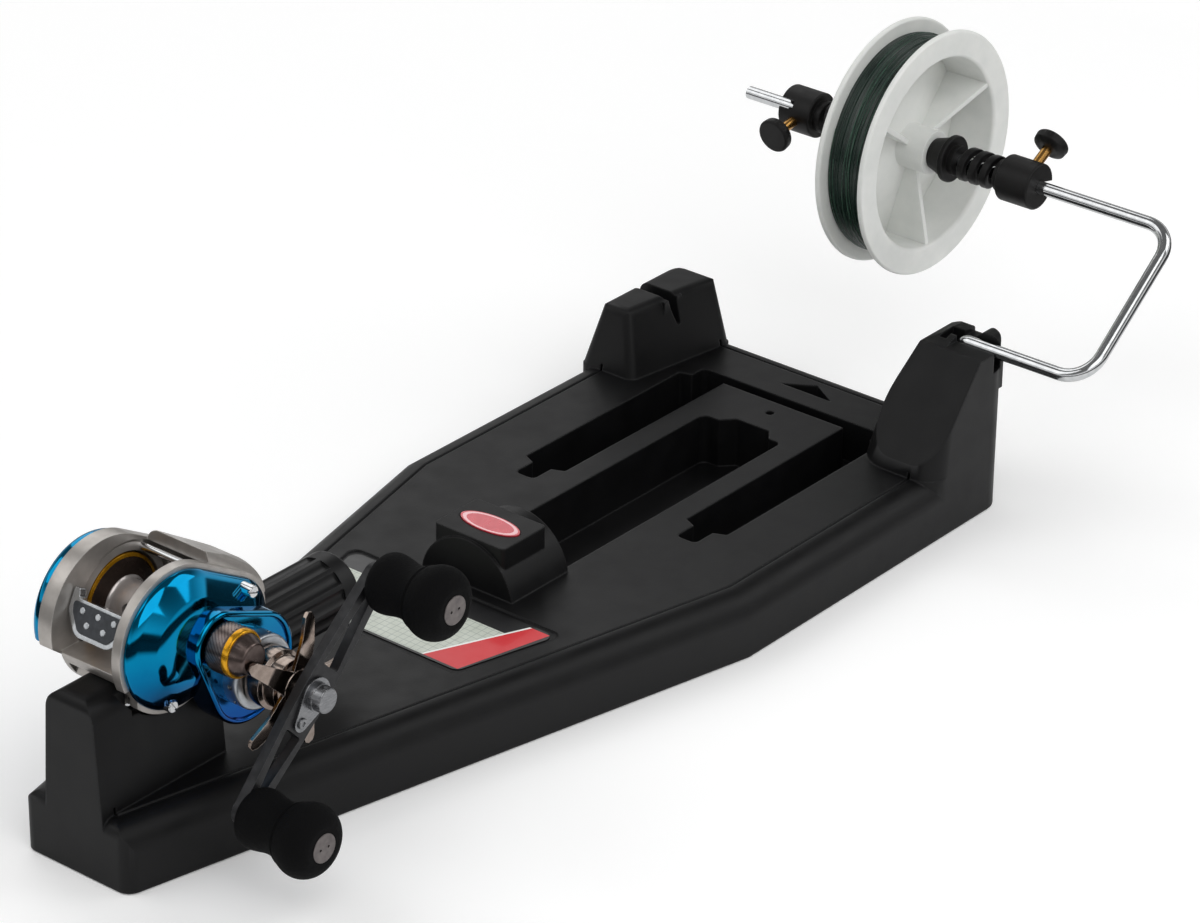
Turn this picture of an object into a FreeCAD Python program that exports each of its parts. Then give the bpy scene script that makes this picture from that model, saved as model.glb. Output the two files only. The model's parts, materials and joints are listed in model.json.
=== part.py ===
import FreeCAD, Part
import math
import os

from FreeCAD import Vector

# A line winder: a long moulded base with a reel clamped on a pedestal at its near end
# and a supply spool on a wire bail that hooks into a tower at its far end.
# Millimetres. X runs from the reel to the supply spool, Y to the palm side of the reel,
# Z up. The origin is the middle of the base's footprint, on the surface it stands on.

# ---------------------------------------------------------------- driving dimensions
# base shell
BASE_LENGTH = 445.0
BASE_WIDTH = 178.0
NOSE_WIDTH = 51.0
FLARE_END = BASE_LENGTH - 170.0   # distance from the near end at which the sides turn parallel
DECK_HEIGHT = 26.3
WALL = 2.6
SIDE_SHOULDER = 10.5
END_SHOULDER = 5.0
CORNER_RADIUS = 12.0
NOSE_CORNER_RADIUS = 6.0
GROOVE_INSET = 10.9
GROOVE_END_INSET = 6.0
GROOVE_WIDTH = 1.2
GROOVE_DEPTH = 0.7
RIB_THICKNESS = 2.0

# storage channel, pocket and marks in the deck
CHANNEL_START = BASE_LENGTH - 139.0
CHANNEL_END = BASE_LENGTH - 36.0
CHANNEL_INNER = BASE_WIDTH / 2 - 58.0
CHANNEL_WIDTH = 20.5
CHANNEL_FLOOR = 8.0
CHANNEL_NOSE_LENGTH = 11.0
CHANNEL_NOSE_WIDTH = 9.5
CROSS_SLOT_X = BASE_LENGTH - 30.8
CROSS_SLOT_WIDTH = 6.0
POCKET_START = 245.5
POCKET_END = BASE_LENGTH - 61.0
POCKET_HALF_WIDTH = 20.0
POCKET_FLOOR = 4.6
PEG_HOLE_RADIUS = 1.8
PEG_HOLE_X = BASE_LENGTH - 42.6
ARROW_X = BASE_LENGTH - 18.2
ARROW_LENGTH = 8.0
ARROW_HALF_WIDTH = 13.0
ARROW_FLOOR = 17.0
ARROW_WALL = 1.6
RIB_STATIONS = (0.2, 0.34, 0.5, 0.65)   # shares of the base's length

# label and badge
LABEL_START = 158.5
LABEL_END = 206.5
LABEL_NEAR_HALF = 41.5
LABEL_FAR_HALF = 53.5
LABEL_DEPTH = 0.7
LABEL_THICKNESS = 0.4
LABEL_MARGIN = 2.2
HUMP_START = 212.0
HUMP_END = 245.5
HUMP_RADIUS = 23.0
HUMP_AXIS_HEIGHT = 23.0
SLAB_LENGTH = 25.5
SLAB_HALF_WIDTH = 17.5
SLAB_TOP = 47.2
BADGE_LENGTH = 29.0
BADGE_WIDTH = 12.5
BADGE_DEPTH = 0.6

# towers at the far end
TOWER_FRONT = BASE_LENGTH - 57.5
TOWER_FOOT_EASE = 1.0       # the towers' standing edges are this much rounder above the deck
LEFT_TOWER_TOP = 54.4
LEFT_TOWER_INNER = BASE_WIDTH / 2 - 28.0
LEFT_TOWER_REAR_INNER = BASE_WIDTH / 2 - 36.5
LEFT_TOWER_DRAFT = 5.5
LEFT_TOWER_REAR_DRAFT = 1.0
LEFT_TOWER_SIDE_DRAFT = 7.0
LEFT_TOWER_INNER_DRAFT = 7.5
LEFT_TOWER_EDGE = 4.5
LEFT_SLOT_X = BASE_LENGTH - 28.0
LEFT_SLOT_BOTTOM = 41.5
RIGHT_TOWER_FRONT = BASE_LENGTH - 52.5
RIGHT_TOWER_TOP = 70.6
RIGHT_TOWER_INNER = BASE_WIDTH / 2 - 40.5
RIGHT_TOWER_TOP_INNER = BASE_WIDTH / 2 - 29.0
RIGHT_RAMP_FOOT = 31.5
RIGHT_RAMP_HEAD_X = BASE_LENGTH - 22.0
RIGHT_LUG_RISE = 4.4
RIGHT_INNER_CORNER = 17.0
RIGHT_OUTER_CORNER = 11.0
RIGHT_TOWER_DRAFT = 5.0

# pedestal that carries the reel
PEDESTAL_LENGTH = 64.0
PEDESTAL_FOOT_HALF = 15.6
PEDESTAL_HEAD_HALF = 11.3
PEDESTAL_CORE_HALF = 8.6
PEDESTAL_RELIEF = 1.2       # gap between the frame's plates and the pedestal's hollowed sides
HOOD_BLOCK_LENGTH = 19.0
SEAT_HEIGHT = 60.0
HOOD_BLOCK_TOP = SEAT_HEIGHT + 12.2
FOOT_POCKET_DEPTH = 9.5

# reel seat: D-shaped stud, sliding hood and fluted barrel
STUD_FLAT_RISE = 1.4        # from the stud's axis up to the foot's seat
SEAT_AXIS_HEIGHT = SEAT_HEIGHT - STUD_FLAT_RISE
STUD_RADIUS = 9.2
STUD_END = 126.0
STUD_SPIGOT_RADIUS = 4.3
STUD_SPIGOT_LENGTH = 12.0
STUD_SPIGOT_DROP = 4.9
SPIGOT_LINING = 1.4
HOOD_START = 74.0
HOOD_LENGTH = 13.7
HOOD_RADIUS = 11.8
HOOD_CLEARANCE = 0.5
BARREL_GAP = 0.3
BARREL_END = 137.0
BARREL_RADIUS = 13.8
BARREL_FLUTES = 12
FLUTE_RADIUS = 5.0
FLUTE_DEPTH = 1.1
FLUTE_START = 3.0
FLUTE_END = 8.0
BARREL_END_WALL = 4.0
RUNNING_GAP = 0.06

# reel: axes (distance from the near end, height) and walls
SPOOL_AXIS_X = 47.5
SPOOL_AXIS_Z = SEAT_HEIGHT + 22.7
GEAR_MODULE = 0.8
MAIN_TEETH = 47
PINION_TEETH = 16
CRANK_BEARING_ANGLE = -45.3     # direction from the spool axis to the crank axis
WORM_DRIVE_TEETH = 26
WORM_TEETH = 15
WORM_BEARING_ANGLE = 68.0       # direction from the crank axis to the worm axis
PLATE_REAR_X = 39.4
PLATE_REAR_Z = SPOOL_AXIS_Z + 0.7
PLATE_REAR_RADIUS = 27.2
PLATE_FRONT_X = 66.5
PLATE_FRONT_Z = SPOOL_AXIS_Z - 4.2
PLATE_FRONT_RADIUS = 17.8
FRAME_LIP = 0.9
FRAME_CLEARANCE = 0.5
COWL_BULGE = 4.6
COWL_THICKNESS = 4.6
COWL_REAR_X = 60.5
COWL_FOOT_Z = SPOOL_AXIS_Z - 2.7
COWL_LEAN = 37.4
HANDLE_WALL_INNER = -10.5
HANDLE_WALL_OUTER = -14.5
PALM_WALL_INNER = 19.0
PALM_WALL_OUTER = 25.5
HANDLE_COVER_FACE = -19.5
GEAR_COVER_FACE = -29.0
GEAR_LOBE_RADIUS = 20.8
SPOOL_LOBE_RADIUS = 12.0
PALM_COVER_FACE = 30.5
PALM_CHORD_X = 25.0
PALM_CHORD_Z = SPOOL_AXIS_Z - 13.7
PALM_CHORD_ANGLE = 38.3
COVER_WALL = 1.2
COVER_EDGE_RADIUS = 2.2
PALM_EDGE_RADIUS = 3.2
FRONT_FOOT_START = 64.0
FRONT_FOOT_END = 70.0
FRONT_FOOT_TOP = SPOOL_AXIS_Z - 13.7
REAR_FOOT_START = 15.0
REAR_FOOT_END = 27.0
REAR_FOOT_TOP = SPOOL_AXIS_Z - 6.2
SHELF_START = 20.0
SHELF_THICKNESS = 2.0
REAR_SCREW_X = 30.8
REAR_SCREW_DROP = 20.9
FRONT_SCREW_X = 70.2
FRONT_SCREW_RISE = 9.5
COVER_SCREW_RADIUS = 1.6
COVER_SCREW_HEAD_RADIUS = 2.4
COVER_SCREW_HEAD_HEIGHT = 1.4
MOUTH_FLARE = 5.5
MOUTH_DEPTH = 4.0

# reel spool
FLANGE_RADIUS = 18.0
FLANGE_THICKNESS = 2.0
DRUM_RADIUS = 9.6
DRUM_WALL = 1.2
SPOOL_SIDE_GAP = 0.6
PALM_BEARING_PLACE = 23.0
SPOOL_SHAFT_RADIUS = 1.8
SPOOL_BEARING_RADIUS = 5.0
SPOOL_BEARING_WIDTH = 2.6
DRUM_HOLE_RADIUS = 2.3
DRUM_HOLES = 8

# reel foot
FOOT_LENGTH = 69.5
FOOT_THICKNESS = 2.5
FOOT_HALF_WIDTH = 7.4
FOOT_TIP_HALF_WIDTH = 6.2
FOOT_START = 10.2
FOOT_POCKET_GAP = 0.3
RIVET_RADIUS = 1.6
REAR_RIVET_X = 21.5
REAR_RIVET_HALF = 4.0
FRONT_RIVET_X = 68.0
FRONT_RIVET_HALF = 3.5
FOOT_TAPER = 14.0
FOOT_CORNER = 4.0

# drive side, Y places run outwards from the gear cover
CAP_RADIUS = 9.2
CAP_KNURL_LENGTH = 8.0
CAP_RING_WIDTH = 2.4
CAP_NOSE_LENGTH = 5.0
CAP_NOSE_RADIUS = 5.6
DRAG_RING_RADIUS = 14.4
DRAG_RING_WIDTH = 3.4
DRAG_RING_HOLES = 12
DRIVE_SHAFT_RADIUS = 3.0
STAR_HUB_RADIUS = 11.4
STAR_WAIST_RADIUS = 9.8
STAR_NOSE_RADIUS = 8.0
STAR_ARMS = 5
STAR_REACH = 27.75
STAR_START_ANGLE = 70.2
STAR_PLACE = -33.0
STAR_HUB_LENGTH = 16.0
STAR_ARM_THICKNESS = 1.4
STAR_ARM_CURL = 2.0
ARM_FACE = -56.5
ARM_THICKNESS = 4.0
ARM_THROW = 47.4
ARM_ANGLE = 43.0
ARM_HUB_HALF = 8.0
ARM_TIP_RADIUS = 5.2
ARM_SHOULDER = 16.0          # where the arms start to narrow
WINDOW_STARTS = {0: 11.0, 180: 15.5}
WINDOW_END = 5.4             # from the knob's axis
WINDOW_HALF = 5.0
WINDOW_TIP_HALF = 1.3
PLATE_THICKNESS = 1.0
PLATE_SCREW_REACH = 11.0
SPINDLE_RADIUS = 2.6
SPINDLE_HEAD_RADIUS = 3.6
NUT_RADIUS = 5.4
NUT_HEIGHT = 5.4
KNOB_LENGTH = 34.0
KNOB_GAP = 1.2
KNOB_BORE_RADIUS = 3.0
KNOB_BULB_RADIUS = 13.9
KNOB_MARKS = (              # (share of the bulb's radius, share of the knob's length from its arm)
    (0.67, 0.0),
    (0.80, 0.075),
    (0.80, 0.21),
    (0.735, 0.36),
    (0.765, 0.50),
    (0.92, 0.64),
    (1.0, 0.77),
    (0.90, 0.91),
    (0.56, 1.0),
)
KNOB_CAP_RADIUS = 5.6
KNOB_CAP_DEPTH = 2.0
KNOB_CAP_RISE = 0.3
KNOB_CAP_HOLE_RADIUS = 0.55
KNOB_CAP_HOLE_STEP = 2.0

# thumb bar, level wind
THUMB_X = 18.8
THUMB_Z = SPOOL_AXIS_Z + 7.3
THUMB_LEAN = 27.0
THUMB_RISE = 10.6
THUMB_DROP = 6.0
THUMB_THICKNESS = 3.4
THUMB_PAD_DEPTH = 1.2
THUMB_SIDE_GAP = 0.5
THUMB_RIM = 1.4
WORM_RADIUS = 2.6
RAIL_RADIUS = 1.5
RAIL_X = 58.6
RAIL_Z = SPOOL_AXIS_Z + 17.9

# wire bail
WIRE_RADIUS = 2.75
BAIL_FOOT_X = BASE_LENGTH - 9.7
BAIL_FOOT_Z = RIGHT_TOWER_TOP - 0.4
BAIL_SWING = 53.0          # lean of the bail away from the reel
BAIL_RISE = 74.6
BAIL_SIDE_Y = -BASE_WIDTH / 2 - 41.9
BAIL_FREE_END_Y = BASE_WIDTH / 2 - 4.0
BAIL_BEND_RADIUS = 13.0
HOOK_Y = -BASE_WIDTH / 2 + 18.5
HOOK_DROP = 15.0
HOOK_BEND_RADIUS = 4.2
HOOK_RELIEF = 1.5           # widening of the hook's hole under the wire's bend
SLOT_CLEARANCE = 0.3

# supply spool on the bail, placed about SUPPLY_Y
SUPPLY_Y = -1.0
SUPPLY_WIDTH = 24.0
SUPPLY_RADIUS = 52.5
SUPPLY_FLANGE = 2.6
SUPPLY_CORE_RADIUS = 41.0
SUPPLY_CORE_WALL = 2.8
SUPPLY_MOUTH_EDGE = 1.6  # rounding of the dish's rim
SUPPLY_RIM_EDGE = 1.2
SUPPLY_HUB_RADIUS = 9.4
SUPPLY_HUB_RECESS = 0.8
SUPPLY_WEB = 1.8  # coned web, deepest at the drum's far end
SUPPLY_WEB_DEPTH = 14.0  # depth of the web's near face at the hub
SUPPLY_FINS = 3
SUPPLY_FIN_ANGLE = 27.0
SUPPLY_FIN_THICKNESS = 2.2
SUPPLY_FIN_RIM_DEPTH = 0.9  # depth of the fins' near edge at the drum
SUPPLY_FIN_HUB_DEPTH = 9.6  # and at the hub
WINDING_RADIUS = 46.6
CONE_FLANGE_RADIUS = 10.0
CONE_FLANGE = 2.4
CONE_TIP_RADIUS = 4.2
CONE_BASE_RADIUS = 9.0
CONE_LENGTH = 14.0
CONE_FACE = 18.8           # from the supply spool's middle to the cone's flange
CONE_NECK_RADIUS = 6.4
CONE_NECK = 2.6
SEAT_GAP = 0.05
SPRING_LENGTH = 23.0
SPRING_TURNS = 4
SPRING_RADIUS = 5.9
SPRING_STRIP_WIDTH = 2.7
SPRING_STRIP_HEIGHT = 3.0
SPRING_END_GAP = 0.3
COLLAR_RADIUS = 9.8
COLLAR_LENGTH = 16.0
COLLAR_NECK_RADIUS = 7.0
COLLAR_NOTCH_LENGTH = 7.0
COLLAR_NOTCH_WIDTH = 4.0
COLLAR_NOTCH_ANGLE = -42.0   # from the thumbscrew, towards the wire's open side
COLLAR_NECK = 3.4
SCREW_RADIUS = 2.2
SCREW_HEAD_RADIUS = 7.6
SCREW_HEAD_HEIGHT = 5.4
SCREW_HEAD_REACH = 18.4
NEAR_SCREW_ANGLE = 29.0
FAR_SCREW_ANGLE = 190.0

# mouldings on the towers and under the reel
TOWER_EDGE_SHARE = 1.5      # least soft edge, in foot eases
LEFT_SLOT_ROOT_LEAD = 1.0
LEFT_SLOT_THROAT_LEAD = 1.4
LEFT_SLOT_THROAT_DROP = 6.0
LEFT_SLOT_THROAT_ROUND = 3.0
LEFT_SLOT_FLOOR_START = 0.4
LEFT_SLOT_FLOOR_END = 2.2
LEFT_SLOT_FLOOR_ROUND = 0.8
LUG_ROOT = 2.0              # depth of the lugs' roots in the tower's top
LUG_LEAD = 1.0
LUG_CROWN_START = 9.0
LUG_CROWN_RISE = 2.8
LUG_ROUND = 9.0
LUG_INNER_GAP = 4.0
LUG_DOME_HALF = 5.5
LUG_DOME_ROUND = 5.0
REAR_LUG_OFFSET = 1.6
REAR_LUG_CROWN_OFFSET = 8.5
REAR_LUG_ROUND = 6.0
WIRE_MOUTH_DEPTH = 5.5      # mouth of the wire slot in the tower's side
WIRE_MOUTH_DROP = 5.4
HOOK_POCKET_SIDE = 3.4
HOOK_POCKET_REACH = 3.2
PEDESTAL_EDGE_DROP = 2.0
PEDESTAL_SHOULDER = 7.0
PEDESTAL_EDGE_ROUND = 9.0
PEDESTAL_CROWN_ROUND = 5.0
PEDESTAL_NOSE_ROUND = 4.5
PEDESTAL_SHELF_ROUND = 1.5
SLAB_LEAD = 1.2             # badge slab behind the hump's near end
SLAB_CORNER = 1.8
LABEL_CORNER = 4.0
LINING_SIDE = 0.5           # pull of the linings from the outer skins
LINING_HOOK_COVER = 3.0
LINING_SKIN = 1.0
LEFT_LINING_START = 2.0
LEFT_LINING_END = 8.5
SOCKET_LINING_PULL = 0.8
FOOT_LINING_SIDE = 1.2

# small turned parts
HOOD_NOSE_DROP = 0.8
HOOD_NOSE_ROUND = 1.5
HOOD_EDGE_ROUND = 0.6
BARREL_NOSE_DROP = 0.6
BARREL_NOSE_ROUND = 0.8
BARREL_NOSE_LENGTH = 4.0
BARREL_END_ROUND = 2.0
FLANGE_EDGE_ROUND = 0.6     # reel spool
FLANGE_ROOT = 2.2           # in flange thicknesses
DRUM_ROOT_ROUND = 2.0
SPOOL_WEB_PLACE = 5.0       # from the palm-side flange
SPOOL_WEB = 2.0
DRUM_HOLE_ROWS = (-5.0, 3.5)   # from the drum's middle
DRUM_HOLE_ANGLE = 20.0
TOOTH_TIP = 0.72            # in modules beyond the pitch circle
TOOTH_ROOT = 0.95
TOOTH_TIP_SHARE = 0.11      # half widths in pitches
TOOTH_ROOT_SHARE = 0.29
MAIN_GEAR_PLACE = 5.6       # gears' inner faces from the handle wall
MAIN_GEAR_WIDTH = 3.0
MAIN_CUP_RADIUS = 11.0
MAIN_CUP_FLOOR = 1.2
PINION_PLACE = 4.6
PINION_WIDTH = 5.0
WASHER_RADIUS = 10.6
WASHER_HEIGHT = 2.4
WORM_GEAR_PLACE = 0.6
WORM_GEAR_WIDTH = 2.4
WORM_STEM_STEP = 1.0
WORM_RINGS = 9
WORM_RING_HALF = 0.5
WORM_RING_DEPTH = 0.5
GUIDE_HALF = 4.0
GUIDE_REAR = 4.6
GUIDE_FRONT = 5.0
GUIDE_NECK = 2.4
GUIDE_RISE = 8.5
GUIDE_EDGE_ROUND = 2.0
GUIDE_CROWN_ROUND = 1.2
GUIDE_EYE_RADIUS = 1.6
GUIDE_EYE_RISE = 6.2
DRAG_RING_BORE_GAP = 0.5
DRAG_RING_FACE_STEP = 4.0
DRAG_RING_CHAMFER = 1.0
DRAG_HOLE_RADIUS = 0.9
DRAG_HOLE_DEPTH = 2.0
DRAG_HOLE_ANGLE = 10.0
CAP_STEP = 1.0
CAP_NOSE_ROUND = 1.2
CAP_BORE_DEPTH = 4.0
CAP_RING_PROUD = 0.1
CAP_RING_BEVEL = 0.8
STAR_NOSE_LENGTH = 3.0
STAR_NECK = 0.4
STAR_WAIST_END = 8.6
STAR_SHOULDER = 0.8
STAR_ROOT_DEPTH = 3.0
STAR_BEND_SHARE = 0.62      # where the arms begin to curl, in reaches
STAR_BEND_ROUND = 14.0
STAR_ROOT_HALF = 4.6
STAR_TIP_HALF = 2.4
STAR_TIP_LENGTH = 2.0
SHOULDER_EASE = 0.6         # handle arm
SHOULDER_ROUND = 20.0
WINDOW_ROUND = 1.2
WINDOW_TIP_ROUND = 0.6
SPINDLE_END_COVER = 5.0
SPINDLE_HEAD_HEIGHT = 1.2
PLATE_RIM = 1.6
PLATE_LUG_RADIUS = 3.4
PLATE_SCREW_RADIUS = 2.1
PLATE_SCREW_HEIGHT = 0.9
PLATE_SCREW_SOCKET = 0.9
NUT_TOP_STEP = 0.6
NUT_SIDE_STEP = 0.3
NUT_SKIRT = 2.0
THUMB_HORN = 2.6
THUMB_HORN_FOOT = 3.4
THUMB_SIDE_BREAK = 2.0      # height where the sides turn in
THUMB_TAPER = 6.0
THUMB_PAD_TOP = 4.6
THUMB_PAD_BOTTOM = 1.6
THUMB_PAD_TAPER = 5.6
DIMPLE_RADIUS = 1.4
DIMPLES = ((3.6, (-7.6, 0.0, 7.6)), (-0.8, (-4.0, 4.0)))   # rise and steps of each row
SCREW_HEAD_NECK = 4.2
SCREW_HEAD_CONE = 1.6
SCREW_HEAD_NOTCHES = 18
SCREW_NOTCH_RADIUS = 0.8
SCREW_NOTCH_START = 1.0

# ---------------------------------------------------------------- worked-out places
NEAR_END = -BASE_LENGTH / 2
FAR_END = BASE_LENGTH / 2
HALF_WIDTH = BASE_WIDTH / 2
FLARE_X = NEAR_END + FLARE_END
SPOOL_X = NEAR_END + SPOOL_AXIS_X
CRANK_DISTANCE = GEAR_MODULE * (MAIN_TEETH + PINION_TEETH) / 2
CRANK_X = SPOOL_X + CRANK_DISTANCE * math.cos(math.radians(CRANK_BEARING_ANGLE))
CRANK_Z = SPOOL_AXIS_Z + CRANK_DISTANCE * math.sin(math.radians(CRANK_BEARING_ANGLE))
WORM_DISTANCE = GEAR_MODULE * (WORM_DRIVE_TEETH + WORM_TEETH) / 2
WORM_X = CRANK_X + WORM_DISTANCE * math.cos(math.radians(WORM_BEARING_ANGLE))
WORM_Z = CRANK_Z + WORM_DISTANCE * math.sin(math.radians(WORM_BEARING_ANGLE))
BAIL_TOP_X = NEAR_END + BAIL_FOOT_X + BAIL_RISE * math.sin(math.radians(BAIL_SWING))
BAIL_TOP_Z = BAIL_FOOT_Z + BAIL_RISE * math.cos(math.radians(BAIL_SWING))
FOOT_TOP = SEAT_HEIGHT + FOOT_THICKNESS


def along(station):
    """X of a place given by its distance from the near end of the base."""
    return NEAR_END + station


# ---------------------------------------------------------------- shape helpers
def on_xy(u, v):
    return Vector(u, v, 0)


def on_xz(u, v):
    return Vector(u, 0, v)


def on_yz(u, v):
    return Vector(0, u, v)


def outline(corners, place):
    """Closed wire through corners (u, v) or (u, v, radius), with round corners as arcs."""
    marks = []
    count = len(corners)
    for index, corner in enumerate(corners):
        here = Vector(corner[0], corner[1], 0)
        radius = corner[2] if len(corner) > 2 else 0.0
        back = Vector(*corners[index - 1][:2], 0) - here
        ahead = Vector(*corners[(index + 1) % count][:2], 0) - here
        back.normalize()
        ahead.normalize()
        if radius <= 0:
            marks.append((here, None, here))
            continue
        half = back.getAngle(ahead) / 2
        reach = radius / math.tan(half)
        middle = back + ahead
        middle.normalize()
        crown = here + middle * (radius / math.sin(half) - radius)
        marks.append((here + back * reach, crown, here + ahead * reach))
    edges = []
    for index, (start, crown, end) in enumerate(marks):
        following = marks[(index + 1) % count][0]
        if crown is not None:
            arc = Part.Arc(place(start.x, start.y), place(crown.x, crown.y), place(end.x, end.y))
            edges.append(arc.toShape())
        if end.distanceToPoint(following) > 1e-6:
            line = Part.LineSegment(place(end.x, end.y), place(following.x, following.y))
            edges.append(line.toShape())
    return Part.Wire(edges)


def slab_xy(corners, low, high):
    face = Part.Face(outline(corners, on_xy))
    face.translate(Vector(0, 0, low))
    return face.extrude(Vector(0, 0, high - low))


def slab_xz(corners, low, high):
    face = Part.Face(outline(corners, on_xz))
    face.translate(Vector(0, low, 0))
    return face.extrude(Vector(0, high - low, 0))


def slab_yz(corners, low, high):
    face = Part.Face(outline(corners, on_yz))
    face.translate(Vector(low, 0, 0))
    return face.extrude(Vector(high - low, 0, 0))


def block(x0, x1, y0, y1, z0, z1):
    return Part.makeBox(x1 - x0, y1 - y0, z1 - z0, Vector(x0, y0, z0))


def rod_x(y, z, radius, x0, x1):
    return Part.makeCylinder(radius, x1 - x0, Vector(x0, y, z), Vector(1, 0, 0))


def rod_y(x, z, radius, y0, y1):
    return Part.makeCylinder(radius, y1 - y0, Vector(x, y0, z), Vector(0, 1, 0))


def rod_z(x, y, radius, z0, z1):
    return Part.makeCylinder(radius, z1 - z0, Vector(x, y, z0), Vector(0, 0, 1))


def turned_y(x, z, corners):
    """Solid of revolution about a Y-parallel axis from corners (radius, y) or (radius, y, round)."""
    wire = outline(corners, lambda u, v: Vector(x + u, v, z))
    return Part.Face(wire).revolve(Vector(x, 0, z), Vector(0, 1, 0), 360)


def turned_x(y, z, corners):
    """Solid of revolution about an X-parallel axis from corners (radius, x) or (radius, x, round)."""
    wire = outline(corners, lambda u, v: Vector(v, y, z + u))
    return Part.Face(wire).revolve(Vector(0, y, z), Vector(1, 0, 0), 360)


def hull_xz(ax, az, ar, bx, bz, br, y0, y1):
    """Slab whose outline is the tangent hull of two circles, along Y."""
    line = Vector(bx - ax, bz - az, 0)
    span = line.Length
    lean = math.atan2(line.y, line.x)
    open_angle = math.acos((ar - br) / span)
    edges = []
    for cx, cz, radius, middle in ((ax, az, ar, lean + math.pi), (bx, bz, br, lean)):
        sweep = math.pi - open_angle if radius == ar and cx == ax else open_angle
        angles = (middle - sweep, middle, middle + sweep)
        points = [on_xz(cx + radius * math.cos(a), cz + radius * math.sin(a)) for a in angles]
        edges.append((points, Part.Arc(*points).toShape()))
    first, second = edges[0][0], edges[1][0]
    top = Part.LineSegment(first[0], second[2]).toShape()
    bottom = Part.LineSegment(first[2], second[0]).toShape()
    wire = Part.Wire(Part.__sortEdges__([edges[0][1], bottom, edges[1][1], top]))
    face = Part.Face(wire)
    face.translate(Vector(0, y0, 0))
    return face.extrude(Vector(0, y1 - y0, 0))


def joined(shapes):
    return shapes[0].fuse(shapes[1:]).removeSplitter()


def without(shape, tools):
    return shape.cut(tools).removeSplitter()


def turned(shape, x, z, degrees):
    """Copy turned about the Y-parallel axis through (x, z), from +X towards +Z."""
    copy = shape.copy()
    copy.rotate(Vector(x, 0, z), Vector(0, -1, 0), degrees)
    return copy


def mirrored(shape):
    return shape.mirror(Vector(0, 0, 0), Vector(0, 1, 0))


def bent_rod(points, bends, radius):
    """Round rod along straight runs joined by tangent arcs, one bend radius per inner point."""
    edges = []
    start = points[0]
    for index in range(1, len(points) - 1):
        here = points[index]
        back = (points[index - 1] - here).normalize()
        ahead = (points[index + 1] - here).normalize()
        half = back.getAngle(ahead) / 2
        reach = bends[index - 1] / math.tan(half)
        middle = (back + ahead).normalize()
        crown = here + middle * (bends[index - 1] / math.sin(half) - bends[index - 1])
        enter = here + back * reach
        leave = here + ahead * reach
        edges.append(Part.LineSegment(start, enter).toShape())
        edges.append(Part.Arc(enter, crown, leave).toShape())
        start = leave
    edges.append(Part.LineSegment(start, points[-1]).toShape())
    path = Part.Wire(edges)
    heading = points[1] - points[0]
    section = Part.Wire([Part.makeCircle(radius, points[0], heading)])
    return path.makePipeShell([section], True, False)


def fillet_some(shape, radius, wanted):
    if radius <= 0:
        return shape
    edges = [edge for edge in shape.Edges if wanted(edge)]
    return shape.makeFillet(radius, edges) if edges else shape


# ---------------------------------------------------------------- base housing
def plan_outline(inset, end_inset):
    """Corners of the base's plan, drawn in from the sides and ends."""
    flare = math.atan2(HALF_WIDTH - NOSE_WIDTH / 2, FLARE_END)
    slant = inset / math.cos(flare)
    step = inset * math.tan(flare / 2)
    near = NEAR_END + end_inset
    near_half = NOSE_WIDTH / 2 + end_inset * math.tan(flare) - slant
    side = HALF_WIDTH - inset
    far = FAR_END - end_inset
    right = [(near, near_half), (FLARE_X + step, side), (far, side)]
    left = [(x, -y) for x, y in reversed(right)]
    return right + left


def round_top_slab(heading, reach, top, radius):
    """Half space below a top and behind a side, with the edge between them rounded."""
    big = 2 * BASE_LENGTH
    corners = [(-big, -WALL), (reach, -WALL), (reach, top, radius), (-big, top)]
    slab = slab_xz(corners, -big, big)
    slab.rotate(Vector(0, 0, 0), Vector(0, 0, 1), heading)
    return slab


def shell_body(inset, top):
    """The base's outside, or its inside when inset by the wall."""
    flare = math.atan2(HALF_WIDTH - NOSE_WIDTH / 2, FLARE_END)
    nose = Vector(NEAR_END, NOSE_WIDTH / 2, 0)
    away = Vector(-math.sin(flare), math.cos(flare), 0)
    corners = plan_outline(inset, inset)
    far_radius = max(CORNER_RADIUS - inset, 1.0)
    near_radius = max(NOSE_CORNER_RADIUS - inset, 1.0)
    radii = [near_radius, 0, far_radius, far_radius, 0, near_radius]
    rounded = [corner + (radius,) for corner, radius in zip(corners, radii)]
    body = slab_xy(rounded, 0, top + WALL)
    shoulder = max(SIDE_SHOULDER - inset, 1.0)
    end_shoulder = max(END_SHOULDER - inset, 1.0)
    cuts = [
        round_top_slab(90, HALF_WIDTH - inset, top, shoulder),
        round_top_slab(-90, HALF_WIDTH - inset, top, shoulder),
        round_top_slab(0, FAR_END - inset, top, end_shoulder),
        round_top_slab(180, -NEAR_END - inset, top, end_shoulder),
        round_top_slab(math.degrees(math.atan2(away.y, away.x)), nose.dot(away) - inset, top, shoulder),
        round_top_slab(-math.degrees(math.atan2(away.y, away.x)), nose.dot(away) - inset, top, shoulder),
    ]
    for cut in cuts:
        body = body.common(cut)
    return body


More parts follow.
